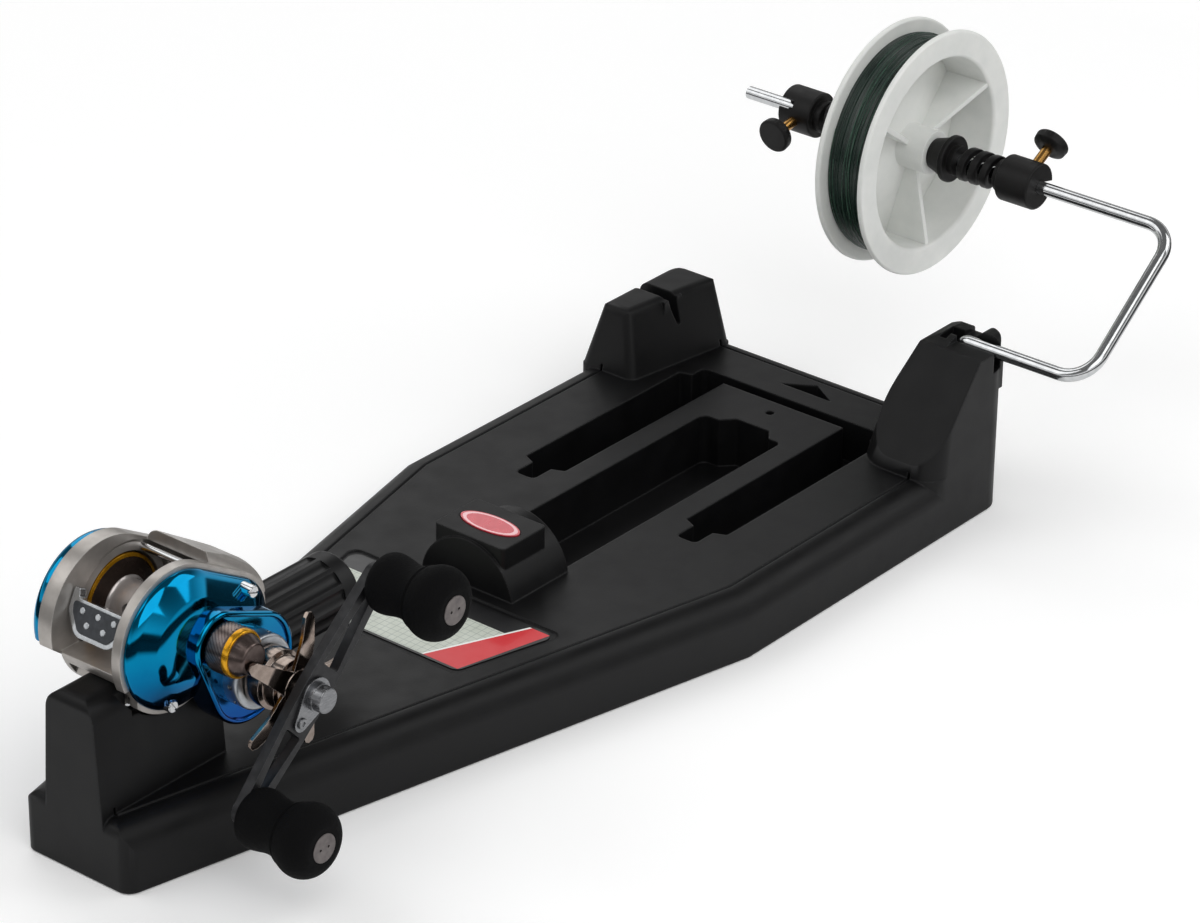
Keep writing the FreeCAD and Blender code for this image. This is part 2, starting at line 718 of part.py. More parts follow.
def channel_plan(grow):
    """Half of the storage channel, left of the middle, grown by a wall."""
    inner = CHANNEL_INNER - grow
    outer = CHANNEL_INNER + CHANNEL_WIDTH + grow
    start = along(CHANNEL_START) - grow
    end = along(CHANNEL_END) + grow
    middle = CHANNEL_INNER + CHANNEL_WIDTH / 2
    nose_half = CHANNEL_NOSE_WIDTH / 2 + grow
    tip = start - CHANNEL_NOSE_LENGTH
    cross_far = along(CROSS_SLOT_X) + CROSS_SLOT_WIDTH / 2 + grow
    cross_near = along(CROSS_SLOT_X) - CROSS_SLOT_WIDTH / 2 - grow
    shoulder = middle + nose_half
    ease = 2.4
    return [
        (tip, middle - nose_half, ease),
        (start, middle - nose_half),
        (start + ease, inner, 1.5),
        (cross_near, inner),
        (cross_near, 0),
        (cross_far, 0),
        (cross_far, shoulder, ease),
        (end, shoulder),
        (end - 1.2, outer, 1.2),
        (start + ease, outer, 1.5),
        (start, middle + nose_half),
        (tip, middle + nose_half, ease),
    ]


def pocket_plan(grow):
    start = along(POCKET_START) - grow
    end = along(POCKET_END) + grow
    half = POCKET_HALF_WIDTH + grow
    bump = 5.5
    return [
        (start, -half, 1.0),
        (end, -half, 3.0),
        (end, -half + 6.5, 1.0),
        (end + bump, -half + 10.5, 2.0),
        (end + bump, half - 13.0, 2.0),
        (end, half - 8.0, 1.5),
        (end, half, 4.0),
        (start, half, 1.0),
    ]


def deck_wells(grow, drop):
    """Channel and pocket voids, or their walls when grown."""
    half_channel = slab_xy(channel_plan(grow), CHANNEL_FLOOR - drop, DECK_HEIGHT + WALL - grow)
    pocket = slab_xy(pocket_plan(grow), POCKET_FLOOR - drop, DECK_HEIGHT + WALL - grow)
    peg = rod_z(along(PEG_HOLE_X), 0, PEG_HOLE_RADIUS + grow, CHANNEL_FLOOR - drop, DECK_HEIGHT + WALL - grow)
    arrow = slab_xy(arrow_plan(min(grow, ARROW_WALL)), ARROW_FLOOR - drop, DECK_HEIGHT + WALL - grow)
    return [half_channel, mirrored(half_channel), pocket, peg, arrow]


def arrow_plan(grow):
    """Triangle that points to the far end."""
    near = along(ARROW_X) - grow
    side = ARROW_HALF_WIDTH + 2.4 * grow
    return [(near, -side), (near + ARROW_LENGTH + 2.4 * grow, 0), (near, side)]


def left_tower(inset):
    """Drafted tower on the palm side with soft top edges."""
    front = along(TOWER_FRONT) + inset
    rear = FAR_END - inset
    outer = HALF_WIDTH - inset
    top = LEFT_TOWER_TOP - inset
    corner = max(CORNER_RADIUS - inset, 1.0)
    edge = max(LEFT_TOWER_EDGE - inset, TOWER_EDGE_SHARE * TOWER_FOOT_EASE)
    foot = [
        (front, LEFT_TOWER_INNER + inset),
        (rear, LEFT_TOWER_REAR_INNER + inset),
        (rear, outer),
        (front, outer),
    ]
    drafts = [LEFT_TOWER_INNER_DRAFT, LEFT_TOWER_REAR_DRAFT, LEFT_TOWER_SIDE_DRAFT, LEFT_TOWER_DRAFT]
    upper = frustum(foot, drafts, DECK_HEIGHT, top, [edge, edge, corner + TOWER_FOOT_EASE, edge], edge)
    foot_radii = [edge - TOWER_FOOT_EASE, edge - TOWER_FOOT_EASE, corner, edge - TOWER_FOOT_EASE]
    rounded_foot = [place + (radius,) for place, radius in zip(foot, foot_radii)]
    return upper.fuse(slab_xy(rounded_foot, 0, DECK_HEIGHT))


def left_slot():
    """Tapered slot across the left tower."""
    x = along(LEFT_SLOT_X)
    top = LEFT_TOWER_TOP + 1.0
    mouth = WIRE_RADIUS + SLOT_CLEARANCE
    corners = [
        (x - mouth - LEFT_SLOT_ROOT_LEAD, top),
        (x - mouth + LEFT_SLOT_THROAT_LEAD, top - LEFT_SLOT_THROAT_DROP, LEFT_SLOT_THROAT_ROUND),
        (x + LEFT_SLOT_FLOOR_START, LEFT_SLOT_BOTTOM, LEFT_SLOT_FLOOR_ROUND),
        (x + LEFT_SLOT_FLOOR_END, LEFT_SLOT_BOTTOM, LEFT_SLOT_FLOOR_ROUND),
        (x + WIRE_RADIUS, top),
    ]
    return slab_xz(corners, LEFT_TOWER_INNER - 5.0, HALF_WIDTH + 1.0)


def leaning_side(start, end, draft, low, high, top_radius):
    """Block left of the foot edge from start to end, its side leaning in by the draft."""
    big = BASE_LENGTH
    slab = slab_yz([(big, low), (0, low), (draft, high, top_radius), (big, high)], -big, big)
    slab.rotate(
        Vector(0, 0, 0), Vector(0, 0, 1), math.degrees(math.atan2(end[1] - start[1], end[0] - start[0]))
    )
    slab.translate(Vector(start[0], start[1], 0))
    return slab


def frustum(foot, drafts, low, high, corner_radii, top_radius):
    """Block on an anticlockwise foot outline; its sides lean in and its edges are rounded."""
    sides = list(zip(foot, foot[1:] + foot[:1], drafts))
    body = slab_xy(foot, low, high)
    for start, end, draft in sides:
        body = body.common(leaning_side(start, end, draft, low, high, 0.0))
    for place, radius in zip(foot, corner_radii):
        body = fillet_some(body, radius, stands_at(place, low, high))
    if top_radius:
        for start, end, draft in sides:
            body = body.common(leaning_side(start, end, draft, low, high, top_radius))
    return body


def stands_at(place, low, high):
    """Test for the edge that rises from a corner of the foot outline."""
    start = Vector(place[0], place[1], low)

    def test(edge):
        ends = [vertex.Point for vertex in edge.Vertexes]
        tall = abs(ends[0].z - ends[-1].z) > (high - low) / 2
        return tall and min(end.distanceToPoint(start) for end in ends) < 1e-6

    return test


def right_tower_body(inset, top):
    """The right tower's drafted block, before its ramp is cut."""
    outer = -HALF_WIDTH + inset
    front = along(RIGHT_TOWER_FRONT) + inset
    rear = FAR_END - inset
    inner = -RIGHT_TOWER_INNER - inset
    foot = [(front, outer), (rear, outer), (rear, inner), (front, inner)]
    inner_draft = RIGHT_TOWER_TOP_INNER - RIGHT_TOWER_INNER
    drafts = [0.0, 0.0, inner_draft, RIGHT_TOWER_DRAFT]
    corner = max(CORNER_RADIUS - inset, 1.0)
    radii = [RIGHT_OUTER_CORNER - inset, corner, 0.0, RIGHT_INNER_CORNER - inset]
    upper = frustum(foot, drafts, DECK_HEIGHT, top, radii, 0.0)
    foot_radii = [radii[0] - TOWER_FOOT_EASE, corner, 0.0, radii[3] - TOWER_FOOT_EASE]
    rounded_foot = [place + (radius,) for place, radius in zip(foot, foot_radii)]
    return upper.fuse(slab_xy(rounded_foot, 0, DECK_HEIGHT))


def right_tower_prism():
    return right_tower_body(0, RIGHT_TOWER_TOP + RIGHT_LUG_RISE)


def right_tower(inset):
    """Tall tower with a leaning front that carries the bail."""
    top = RIGHT_TOWER_TOP - inset
    front = along(RIGHT_TOWER_FRONT)
    body = right_tower_body(inset, RIGHT_TOWER_TOP + RIGHT_LUG_RISE)
    ramp = [
        (front - 1.0, 0),
        (front - 1.0, RIGHT_RAMP_FOOT - inset),
        (front + inset, RIGHT_RAMP_FOOT - inset),
        (along(RIGHT_RAMP_HEAD_X) + inset, top),
        (FAR_END + 1.0, top),
        (FAR_END + 1.0, 0),
    ]
    return body.common(slab_xz(ramp, -HALF_WIDTH - 1.0, 0))


def right_tower_lugs():
    """Domed inner lug and rounded rear lug beside the wire slot."""
    rear = FAR_END
    slot_far = along(BAIL_FOOT_X) + WIRE_RADIUS + SLOT_CLEARANCE
    top = RIGHT_TOWER_TOP
    head = along(RIGHT_RAMP_HEAD_X)
    inner = slab_xz(
        [
            (head + LUG_LEAD / 2, top - LUG_ROOT),
            (head + LUG_LEAD, top - 0.2),
            (head + LUG_CROWN_START, top + LUG_CROWN_RISE - 0.2, LUG_ROUND),
            (rear, top + LUG_CROWN_RISE, LUG_ROOT),
            (rear, top - LUG_ROOT),
        ],
        HOOK_Y,
        -RIGHT_TOWER_TOP_INNER + LUG_INNER_GAP,
    )
    rear_lug = slab_yz(
        [
            (HOOK_Y - REAR_LUG_OFFSET, top - LUG_ROOT),
            (HOOK_Y - REAR_LUG_CROWN_OFFSET, top + RIGHT_LUG_RISE, LUG_DOME_ROUND),
            (-HALF_WIDTH, top + RIGHT_LUG_RISE - 0.6, REAR_LUG_ROUND),
            (-HALF_WIDTH, top - LUG_ROOT),
        ],
        slot_far,
        rear,
    )
    dome = slab_yz(
        [
            (HOOK_Y, top - LUG_ROOT),
            (HOOK_Y, top + LUG_CROWN_RISE),
            (HOOK_Y + LUG_DOME_HALF, top + LUG_CROWN_RISE, LUG_DOME_ROUND),
            (-RIGHT_TOWER_TOP_INNER + 1.5 * LUG_LEAD, top - 0.2),
            (-RIGHT_TOWER_TOP_INNER + 1.5 * LUG_LEAD, top - LUG_ROOT),
        ],
        head,
        rear + 1.0,
    )
    prism = right_tower_prism()
    return [inner.common(dome).common(prism), rear_lug.common(prism)]


def right_tower_cuts():
    """Slot for the bail's lower leg, its deep mouth and the hole for the hook."""
    half = WIRE_RADIUS + SLOT_CLEARANCE
    x = along(BAIL_FOOT_X)
    floor = BAIL_FOOT_Z - WIRE_RADIUS - 0.1
    above = RIGHT_TOWER_TOP + 2 * RIGHT_LUG_RISE
    inner_end = HOOK_Y + half
    slot = block(x - half, x + half, -HALF_WIDTH - 1.0, inner_end, floor, above)
    mouth = block(
        x - half, x + half, -HALF_WIDTH - 1.0, -HALF_WIDTH + WIRE_MOUTH_DEPTH, floor - WIRE_MOUTH_DROP, above
    )
    hole = block(x - half, x + half, HOOK_Y - half, inner_end, BAIL_FOOT_Z - HOOK_DROP - 1.0, above)
    bend = block(x - half, x + half, HOOK_Y - half - HOOK_RELIEF, HOOK_Y, floor - 2 * HOOK_RELIEF, above)
    pocket = block(
        x - half - HOOK_POCKET_SIDE, x + half, inner_end - 0.1, inner_end + HOOK_POCKET_REACH, floor, above
    )
    return [slot, mouth, hole, bend, pocket]


def pedestal(inset):
    """Tapered block under the reel, with the fixed hood at its near end."""
    near = NEAR_END + inset
    crown = PEDESTAL_HEAD_HALF - inset
    top = HOOD_BLOCK_TOP - inset
    across = [
        (-PEDESTAL_FOOT_HALF + inset, 0),
        (-crown, top - PEDESTAL_EDGE_DROP, PEDESTAL_EDGE_ROUND - inset),
        (-crown + PEDESTAL_SHOULDER, top, PEDESTAL_CROWN_ROUND),
        (crown - PEDESTAL_SHOULDER, top, PEDESTAL_CROWN_ROUND),
        (crown, top - PEDESTAL_EDGE_DROP, PEDESTAL_EDGE_ROUND - inset),
        (PEDESTAL_FOOT_HALF - inset, 0),
    ]
    body = slab_yz(across, near, along(PEDESTAL_LENGTH) - inset)
    hood_end = along(HOOD_BLOCK_LENGTH) - inset
    side = [
        (near, 0),
        (near, top, PEDESTAL_NOSE_ROUND),
        (hood_end, top, PEDESTAL_SHELF_ROUND),
        (hood_end, SEAT_HEIGHT - inset),
        (along(PEDESTAL_LENGTH) - PEDESTAL_SHELF_ROUND - inset, SEAT_HEIGHT - inset, PEDESTAL_SHELF_ROUND),
        (along(PEDESTAL_LENGTH) - inset, 0),
    ]
    body = body.common(slab_xz(side, -2 * PEDESTAL_FOOT_HALF, 2 * PEDESTAL_FOOT_HALF))
    relief = FRAME_LIP + PEDESTAL_RELIEF + inset
    core = PEDESTAL_CORE_HALF - inset
    for low, high in ((core, 2 * PEDESTAL_FOOT_HALF), (-2 * PEDESTAL_FOOT_HALF, -core)):
        body = body.cut(plate_hull(relief, low, high))
    return body


def hump():
    """Vaulted hump with a square slab that carries the badge."""
    vault = rod_x(0, HUMP_AXIS_HEIGHT, HUMP_RADIUS, along(HUMP_START), along(HUMP_END))
    vault = vault.common(
        block(along(HUMP_START), along(HUMP_END), -HUMP_RADIUS, HUMP_RADIUS, DECK_HEIGHT - WALL, SLAB_TOP)
    )
    slab = block(
        along(HUMP_START) + SLAB_LEAD,
        along(HUMP_START) + SLAB_LEAD + SLAB_LENGTH,
        -SLAB_HALF_WIDTH,
        SLAB_HALF_WIDTH,
        DECK_HEIGHT,
        SLAB_TOP,
    )
    slab = fillet_some(slab, SLAB_CORNER, lambda edge: abs(edge.Vertexes[0].Z - edge.Vertexes[1].Z) > 1)
    slab = slab.cut(rod_x(0, HUMP_AXIS_HEIGHT, HUMP_RADIUS - WALL, along(HUMP_START) - 1, along(HUMP_END)))
    inside = rod_x(0, HUMP_AXIS_HEIGHT, HUMP_RADIUS - WALL, along(HUMP_START) + WALL, along(HUMP_END) - WALL)
    return joined([vault, slab]).cut(inside)


def badge_shape(low, high, shrink):
    ellipse = Part.Ellipse(
        Vector(along(HUMP_START) + SLAB_LEAD + SLAB_LENGTH / 2, 0, low),
        BADGE_LENGTH / 2 - shrink,
        BADGE_WIDTH / 2 - shrink,
    )
    wire = Part.Wire(ellipse.toShape())
    wire.rotate(ellipse.Center, Vector(0, 0, 1), 90)
    return Part.Face(wire).extrude(Vector(0, 0, high - low))


def label_plan(shrink):
    return [
        (along(LABEL_START) + shrink, -LABEL_NEAR_HALF + shrink, LABEL_CORNER),
        (along(LABEL_END) - shrink, -LABEL_FAR_HALF + shrink, LABEL_CORNER),
        (along(LABEL_END) - shrink, LABEL_FAR_HALF - shrink, LABEL_CORNER),
        (along(LABEL_START) + shrink, LABEL_NEAR_HALF - shrink, LABEL_CORNER),
    ]


def deck_marks():
    """Border groove, label recess and badge recess."""
    low = DECK_HEIGHT - GROOVE_DEPTH
    outer = slab_xy(plan_outline(GROOVE_INSET, GROOVE_END_INSET), low, DECK_HEIGHT + WALL)
    inner = slab_xy(
        plan_outline(GROOVE_INSET + GROOVE_WIDTH, GROOVE_END_INSET + GROOVE_WIDTH), low, DECK_HEIGHT + WALL
    )
    groove = outer.cut(inner)
    label = slab_xy(label_plan(0), DECK_HEIGHT - LABEL_DEPTH, DECK_HEIGHT + WALL)
    badge = badge_shape(SLAB_TOP - BADGE_DEPTH, SLAB_TOP + 1.0, 0)
    return [groove, label, badge]


def underside_ribs():
    """Cross and long ribs under the deck, down to the standing surface."""
    ribs = [block(NEAR_END, FAR_END, -RIB_THICKNESS / 2, RIB_THICKNESS / 2, 0, DECK_HEIGHT)]
    for share in RIB_STATIONS:
        x = along(share * BASE_LENGTH)
        ribs.append(
            block(x - RIB_THICKNESS / 2, x + RIB_THICKNESS / 2, -HALF_WIDTH, HALF_WIDTH, 0, DECK_HEIGHT)
        )
    for side in (-1, 1):
        y = side * (HALF_WIDTH + CHANNEL_INNER + CHANNEL_WIDTH) / 2
        ribs.append(
            block(
                along(BASE_LENGTH / 2), FAR_END, y - RIB_THICKNESS / 2, y + RIB_THICKNESS / 2, 0, DECK_HEIGHT
            )
        )
    return ribs


def base_housing():
    inside = shell_body(WALL, DECK_HEIGHT - WALL)
    inside = inside.cut(block(NEAR_END, FAR_END, -HALF_WIDTH, HALF_WIDTH, -WALL, 0))
    outside = shell_body(0, DECK_HEIGHT)
    standing = [left_tower(0), right_tower(0), pedestal(0), hump()] + right_tower_lugs()
    body = outside.fuse(standing)
    hollow = [inside, left_tower(WALL), right_tower(WALL), pedestal(WALL)]
    body = body.cut(hollow)
    ribs = [rib.common(inside) for rib in underside_ribs()]
    walls = deck_wells(WALL, WALL)
    body = body.fuse(ribs + walls + slot_linings())
    spigot = rod_x(
        0,
        SEAT_AXIS_HEIGHT - STUD_SPIGOT_DROP,
        STUD_SPIGOT_RADIUS,
        along(PEDESTAL_LENGTH) - STUD_SPIGOT_LENGTH,
        along(PEDESTAL_LENGTH) + 2,
    )
    foot_pocket = block(
        along(FOOT_START) - FOOT_POCKET_GAP,
        along(HOOD_BLOCK_LENGTH) + 1,
        -FOOT_HALF_WIDTH - FOOT_POCKET_GAP,
        FOOT_HALF_WIDTH + FOOT_POCKET_GAP,
        SEAT_HEIGHT,
        FOOT_TOP + FOOT_POCKET_GAP,
    )
    cuts = deck_wells(0, 0) + deck_marks() + [left_slot(), spigot, foot_pocket] + right_tower_cuts()
    return body.cut(cuts)


def slot_linings():
    """Solid cores inside the hollow towers and pedestal, around the slots and sockets."""
    x = along(BAIL_FOOT_X)
    half = WIRE_RADIUS + SLOT_CLEARANCE + WALL
    right = block(
        x - half,
        x + half - LINING_SIDE,
        -HALF_WIDTH + LINING_SKIN,
        HOOK_Y + half + LINING_HOOK_COVER,
        BAIL_FOOT_Z - HOOK_DROP - WALL,
        RIGHT_TOWER_TOP - LINING_SIDE,
    )
    lx = along(LEFT_SLOT_X)
    left = block(
        lx - half,
        lx + half,
        LEFT_TOWER_INNER + LEFT_LINING_START,
        HALF_WIDTH - LEFT_LINING_END,
        LEFT_SLOT_BOTTOM - WALL,
        LEFT_TOWER_TOP - LINING_SKIN,
    )
    socket = rod_x(
        0,
        SEAT_AXIS_HEIGHT - STUD_SPIGOT_DROP,
        STUD_SPIGOT_RADIUS + SPIGOT_LINING,
        along(PEDESTAL_LENGTH) - STUD_SPIGOT_LENGTH - WALL,
        along(PEDESTAL_LENGTH) - SOCKET_LINING_PULL,
    )
    hood = block(
        along(FOOT_START) - FOOT_POCKET_GAP - WALL,
        along(HOOD_BLOCK_LENGTH) - LINING_SIDE,
        -FOOT_HALF_WIDTH - FOOT_LINING_SIDE,
        FOOT_HALF_WIDTH + FOOT_LINING_SIDE,
        SEAT_HEIGHT - WALL,
        FOOT_TOP + WALL,
    )
    return [right, left, socket, hood]


def label_sticker():
    low = DECK_HEIGHT - LABEL_DEPTH
    return slab_xy(label_plan(LABEL_MARGIN), low, low + LABEL_THICKNESS)


def oval_badge():
    low = SLAB_TOP - BADGE_DEPTH
    return badge_shape(low, low + BADGE_DEPTH + 0.3, 0.4)


# ---------------------------------------------------------------- reel seat
def d_section(radius, x0, x1):
    rod = rod_x(0, SEAT_AXIS_HEIGHT, radius, x0, x1)
    return rod.cut(block(x0 - 1, x1 + 1, -radius, radius, SEAT_HEIGHT, SEAT_HEIGHT + 2 * radius))


def seat_stud():
    """D-shaped beam and threaded stem with a spigot into the pedestal."""
    beam = d_section(STUD_RADIUS, along(PEDESTAL_LENGTH), along(STUD_END))
    spigot = rod_x(
        0,
        SEAT_AXIS_HEIGHT - STUD_SPIGOT_DROP,
        STUD_SPIGOT_RADIUS - SEAT_GAP,
        along(PEDESTAL_LENGTH) - STUD_SPIGOT_LENGTH + 0.2,
        along(PEDESTAL_LENGTH) + 1,
    )
    return joined([beam, spigot])


def seat_hood():
    """Moving hood: a ring that slides on the stud and covers the front tip of the foot."""
    start = along(HOOD_START)
    end = start + HOOD_LENGTH
    ring = turned_x(
        0,
        SEAT_AXIS_HEIGHT,
        [
            (0, start),
            (HOOD_RADIUS - HOOD_NOSE_DROP, start, HOOD_NOSE_ROUND),
            (HOOD_RADIUS, end, HOOD_EDGE_ROUND),
            (0, end),
        ],
    )
    bore = d_section(STUD_RADIUS + RUNNING_GAP, start - 1, end + 1)
    tip_end = along(FOOT_START + FOOT_LENGTH) + FOOT_POCKET_GAP
    pocket = block(
        start - 1,
        tip_end,
        -FOOT_HALF_WIDTH - FOOT_POCKET_GAP,
        FOOT_HALF_WIDTH + FOOT_POCKET_GAP,
        SEAT_HEIGHT - HOOD_CLEARANCE,
        FOOT_TOP + FOOT_POCKET_GAP,
    )
    wall = plate_hull(FRAME_LIP + HOOD_CLEARANCE, HANDLE_WALL_OUTER - 1, HANDLE_WALL_INNER + HOOD_CLEARANCE)
    return without(ring, [bore, pocket, wall])


def clamp_barrel():
    """Fluted barrel that screws along the stud and drives the hood."""
    start = along(HOOD_START) + HOOD_LENGTH + BARREL_GAP
    end = along(BARREL_END)
    body = turned_x(
        0,
        SEAT_AXIS_HEIGHT,
        [
            (0, start),
            (BARREL_RADIUS - BARREL_NOSE_DROP, start, BARREL_NOSE_ROUND),
            (BARREL_RADIUS, start + BARREL_NOSE_LENGTH),
            (BARREL_RADIUS, end, BARREL_END_ROUND),
            (0, end),
        ],
    )
    bore = rod_x(0, SEAT_AXIS_HEIGHT, STUD_RADIUS + RUNNING_GAP, start - 1, end - BARREL_END_WALL)
    cuts = [bore]
    reach = BARREL_RADIUS + FLUTE_RADIUS - FLUTE_DEPTH
    for index in range(BARREL_FLUTES):
        angle = 2 * math.pi * (index + 0.5) / BARREL_FLUTES
        y = reach * math.cos(angle)
        z = SEAT_AXIS_HEIGHT + reach * math.sin(angle)
        cuts.append(rod_x(y, z, FLUTE_RADIUS, start + FLUTE_START, end - FLUTE_END))
    return without(body, cuts)


# ---------------------------------------------------------------- reel frame and covers
def palm_chord(grow):
    """Room below the straight lower rear edge of the palm side."""
    lean = math.radians(PALM_CHORD_ANGLE)
    x = along(PALM_CHORD_X) - grow * math.sin(lean)
    z = PALM_CHORD_Z - grow * math.cos(lean)
    reach = 2 * PLATE_REAR_RADIUS
    run = Vector(math.cos(lean), -math.sin(lean), 0) * reach
    corners = [(x - run.x, z - run.y), (x + run.x, z + run.y), (x + run.x, z - reach), (x - run.x, z - reach)]
    corners[2] = (x + run.x - reach, z + run.y - reach)
    corners[3] = (x - run.x - reach, z - run.y - reach)
    return slab_xz(corners, PALM_WALL_INNER - 1, PALM_COVER_FACE + 1)


def plate_hull(grow, y0, y1):
    return hull_xz(
        along(PLATE_REAR_X),
        PLATE_REAR_Z,
        PLATE_REAR_RADIUS + grow,
        along(PLATE_FRONT_X),
        PLATE_FRONT_Z,
        PLATE_FRONT_RADIUS + grow,
        y0,
        y1,
    )


def front_cowl():
    """Domed bar over the level wind, from wall to wall, with rounded ends and edges."""
    low, high = HANDLE_WALL_INNER - 0.5, PALM_WALL_INNER + 0.5
    band = plate_hull(COWL_BULGE, low, high).cut(plate_hull(COWL_BULGE - COWL_THICKNESS, low - 1, high + 1))
    rear = along(COWL_REAR_X)
    band = band.common(block(rear, rear + 60, low, high, COWL_FOOT_Z, PLATE_REAR_Z + 60))
    crown = Vector(math.sin(math.radians(COWL_LEAN)), 0, math.cos(math.radians(COWL_LEAN)))
    middle = Vector(along(PLATE_FRONT_X), 0, PLATE_FRONT_Z)
    top = middle.dot(crown) + PLATE_FRONT_RADIUS + COWL_BULGE + 0.6
    corners = [
        (low, top - 60),
        (low, top, 7.0),
        (high - 14.0, top - 0.4, 20.0),
        (high, top - 5.0, 6.0),
        (high, top - 60),
    ]
    dome = slab_yz(corners, -4 * BASE_WIDTH, 4 * BASE_WIDTH)
    dome.rotate(Vector(0, 0, 0), Vector(0, 1, 0), COWL_LEAN)
    return band.common(dome)


def reel_frame():
    """Cast frame: two side walls, lower cross members and the front cowl."""
    palm = plate_hull(FRAME_LIP, PALM_WALL_INNER, PALM_WALL_OUTER).cut(palm_chord(FRAME_LIP))
    handle = plate_hull(FRAME_LIP, HANDLE_WALL_OUTER, HANDLE_WALL_INNER)
    low, high = HANDLE_WALL_INNER - 0.5, PALM_WALL_INNER + 0.5
    front_foot = block(
        along(FRONT_FOOT_START), along(FRONT_FOOT_END), low, high, FOOT_TOP, FRONT_FOOT_TOP
    ).common(plate_hull(-1.0, low, high))
    rear_foot = block(
        along(REAR_FOOT_START), along(REAR_FOOT_END), low, high, FOOT_TOP, REAR_FOOT_TOP
    ).common(plate_hull(-1.5, low, high))
    rear_foot = rear_foot.cut(rod_y(SPOOL_X, SPOOL_AXIS_Z, FLANGE_RADIUS + 1.8, low - 1, high + 1))
    rear_foot = rear_foot.cut(palm_chord(0.0))
    shelf = block(
        along(SHELF_START), along(
            FRONT_FOOT_START
        ), -FOOT_HALF_WIDTH, FOOT_HALF_WIDTH, FOOT_TOP, FOOT_TOP + SHELF_THICKNESS
    )
    shelf = shelf.cut(
        rod_y(SPOOL_X, SPOOL_AXIS_Z, FLANGE_RADIUS + 0.8, -FOOT_HALF_WIDTH - 1, FOOT_HALF_WIDTH + 1)
    )
    boss = rod_y(CRANK_X, CRANK_Z, DRIVE_SHAFT_RADIUS + 2.6, HANDLE_WALL_OUTER, HANDLE_WALL_INNER)
    body = joined([palm, handle, front_cowl(), front_foot, rear_foot, shelf, boss])
    hood_room = block(
        NEAR_END,
        along(HOOD_BLOCK_LENGTH) + FRAME_CLEARANCE,
        -PEDESTAL_FOOT_HALF,
        PEDESTAL_FOOT_HALF,
        SEAT_HEIGHT,
        HOOD_BLOCK_TOP + FRAME_CLEARANCE,
    )
    wide = FLANGE_RADIUS + MOUTH_FLARE
    mouth = turned_y(
        SPOOL_X,
        SPOOL_AXIS_Z,
        [
            (0, PALM_WALL_INNER - 1),
            (wide, PALM_WALL_INNER - 1),
            (wide, PALM_WALL_INNER),
            (FLANGE_RADIUS + SPOOL_SIDE_GAP, PALM_WALL_INNER + MOUTH_DEPTH),
            (FLANGE_RADIUS + SPOOL_SIDE_GAP, PALM_WALL_OUTER + 1),
            (0, PALM_WALL_OUTER + 1),
        ],
    )
    handle_hole = rod_y(
        SPOOL_X, SPOOL_AXIS_Z, FLANGE_RADIUS + SPOOL_SIDE_GAP, HANDLE_WALL_OUTER + 2.0, HANDLE_WALL_INNER + 1
    )
    bearing = rod_y(SPOOL_X, SPOOL_AXIS_Z, SPOOL_BEARING_RADIUS, HANDLE_WALL_OUTER - 1, HANDLE_WALL_INNER + 1)
    worm_bore = rod_y(WORM_X, WORM_Z, WORM_RADIUS + RUNNING_GAP, HANDLE_WALL_OUTER - 1, PALM_WALL_INNER + 1.5)
    crank_bore = rod_y(
        CRANK_X, CRANK_Z, DRIVE_SHAFT_RADIUS + RUNNING_GAP, HANDLE_WALL_OUTER - 1, HANDLE_WALL_INNER + 1
    )
    rail = rod_y(along(RAIL_X), RAIL_Z, RAIL_RADIUS, HANDLE_WALL_INNER - 1.5, PALM_WALL_INNER + 1.5)
    return without(body, [hood_room, mouth, handle_hole, bearing, worm_bore, crank_bore, rail])


def reel_foot():
    """Curved-ended foot plate, seated in the fixed hood and under the moving hood."""
    start = along(FOOT_START)
    end = start + FOOT_LENGTH
    waist = FOOT_TAPER
    plan = [
        (start, -FOOT_TIP_HALF_WIDTH, FOOT_CORNER),
        (start + waist, -FOOT_HALF_WIDTH),
        (end - waist, -FOOT_HALF_WIDTH),
        (end, -FOOT_TIP_HALF_WIDTH, FOOT_CORNER),
        (end, FOOT_TIP_HALF_WIDTH, FOOT_CORNER),
        (end - waist, FOOT_HALF_WIDTH),
        (start + waist, FOOT_HALF_WIDTH),
        (start, FOOT_TIP_HALF_WIDTH, FOOT_CORNER),
    ]
    plate = slab_xy(plan, SEAT_HEIGHT, FOOT_TOP)
    holes = [rod_z(x, y, RIVET_RADIUS, SEAT_HEIGHT - 1, FOOT_TOP + 1) for x, y in rivet_places()]
    return without(plate, holes)


def rivet_places():
    rear, front = along(REAR_RIVET_X), along(FRONT_RIVET_X)
    return [
        (rear, -REAR_RIVET_HALF),
        (rear, REAR_RIVET_HALF),
        (front, -FRONT_RIVET_HALF),
        (front, FRONT_RIVET_HALF),
    ]


def foot_rivets():
    """Four rivets flush with the foot."""
    return Part.makeCompound([rod_z(x, y, RIVET_RADIUS, SEAT_HEIGHT, FOOT_TOP) for x, y in rivet_places()])


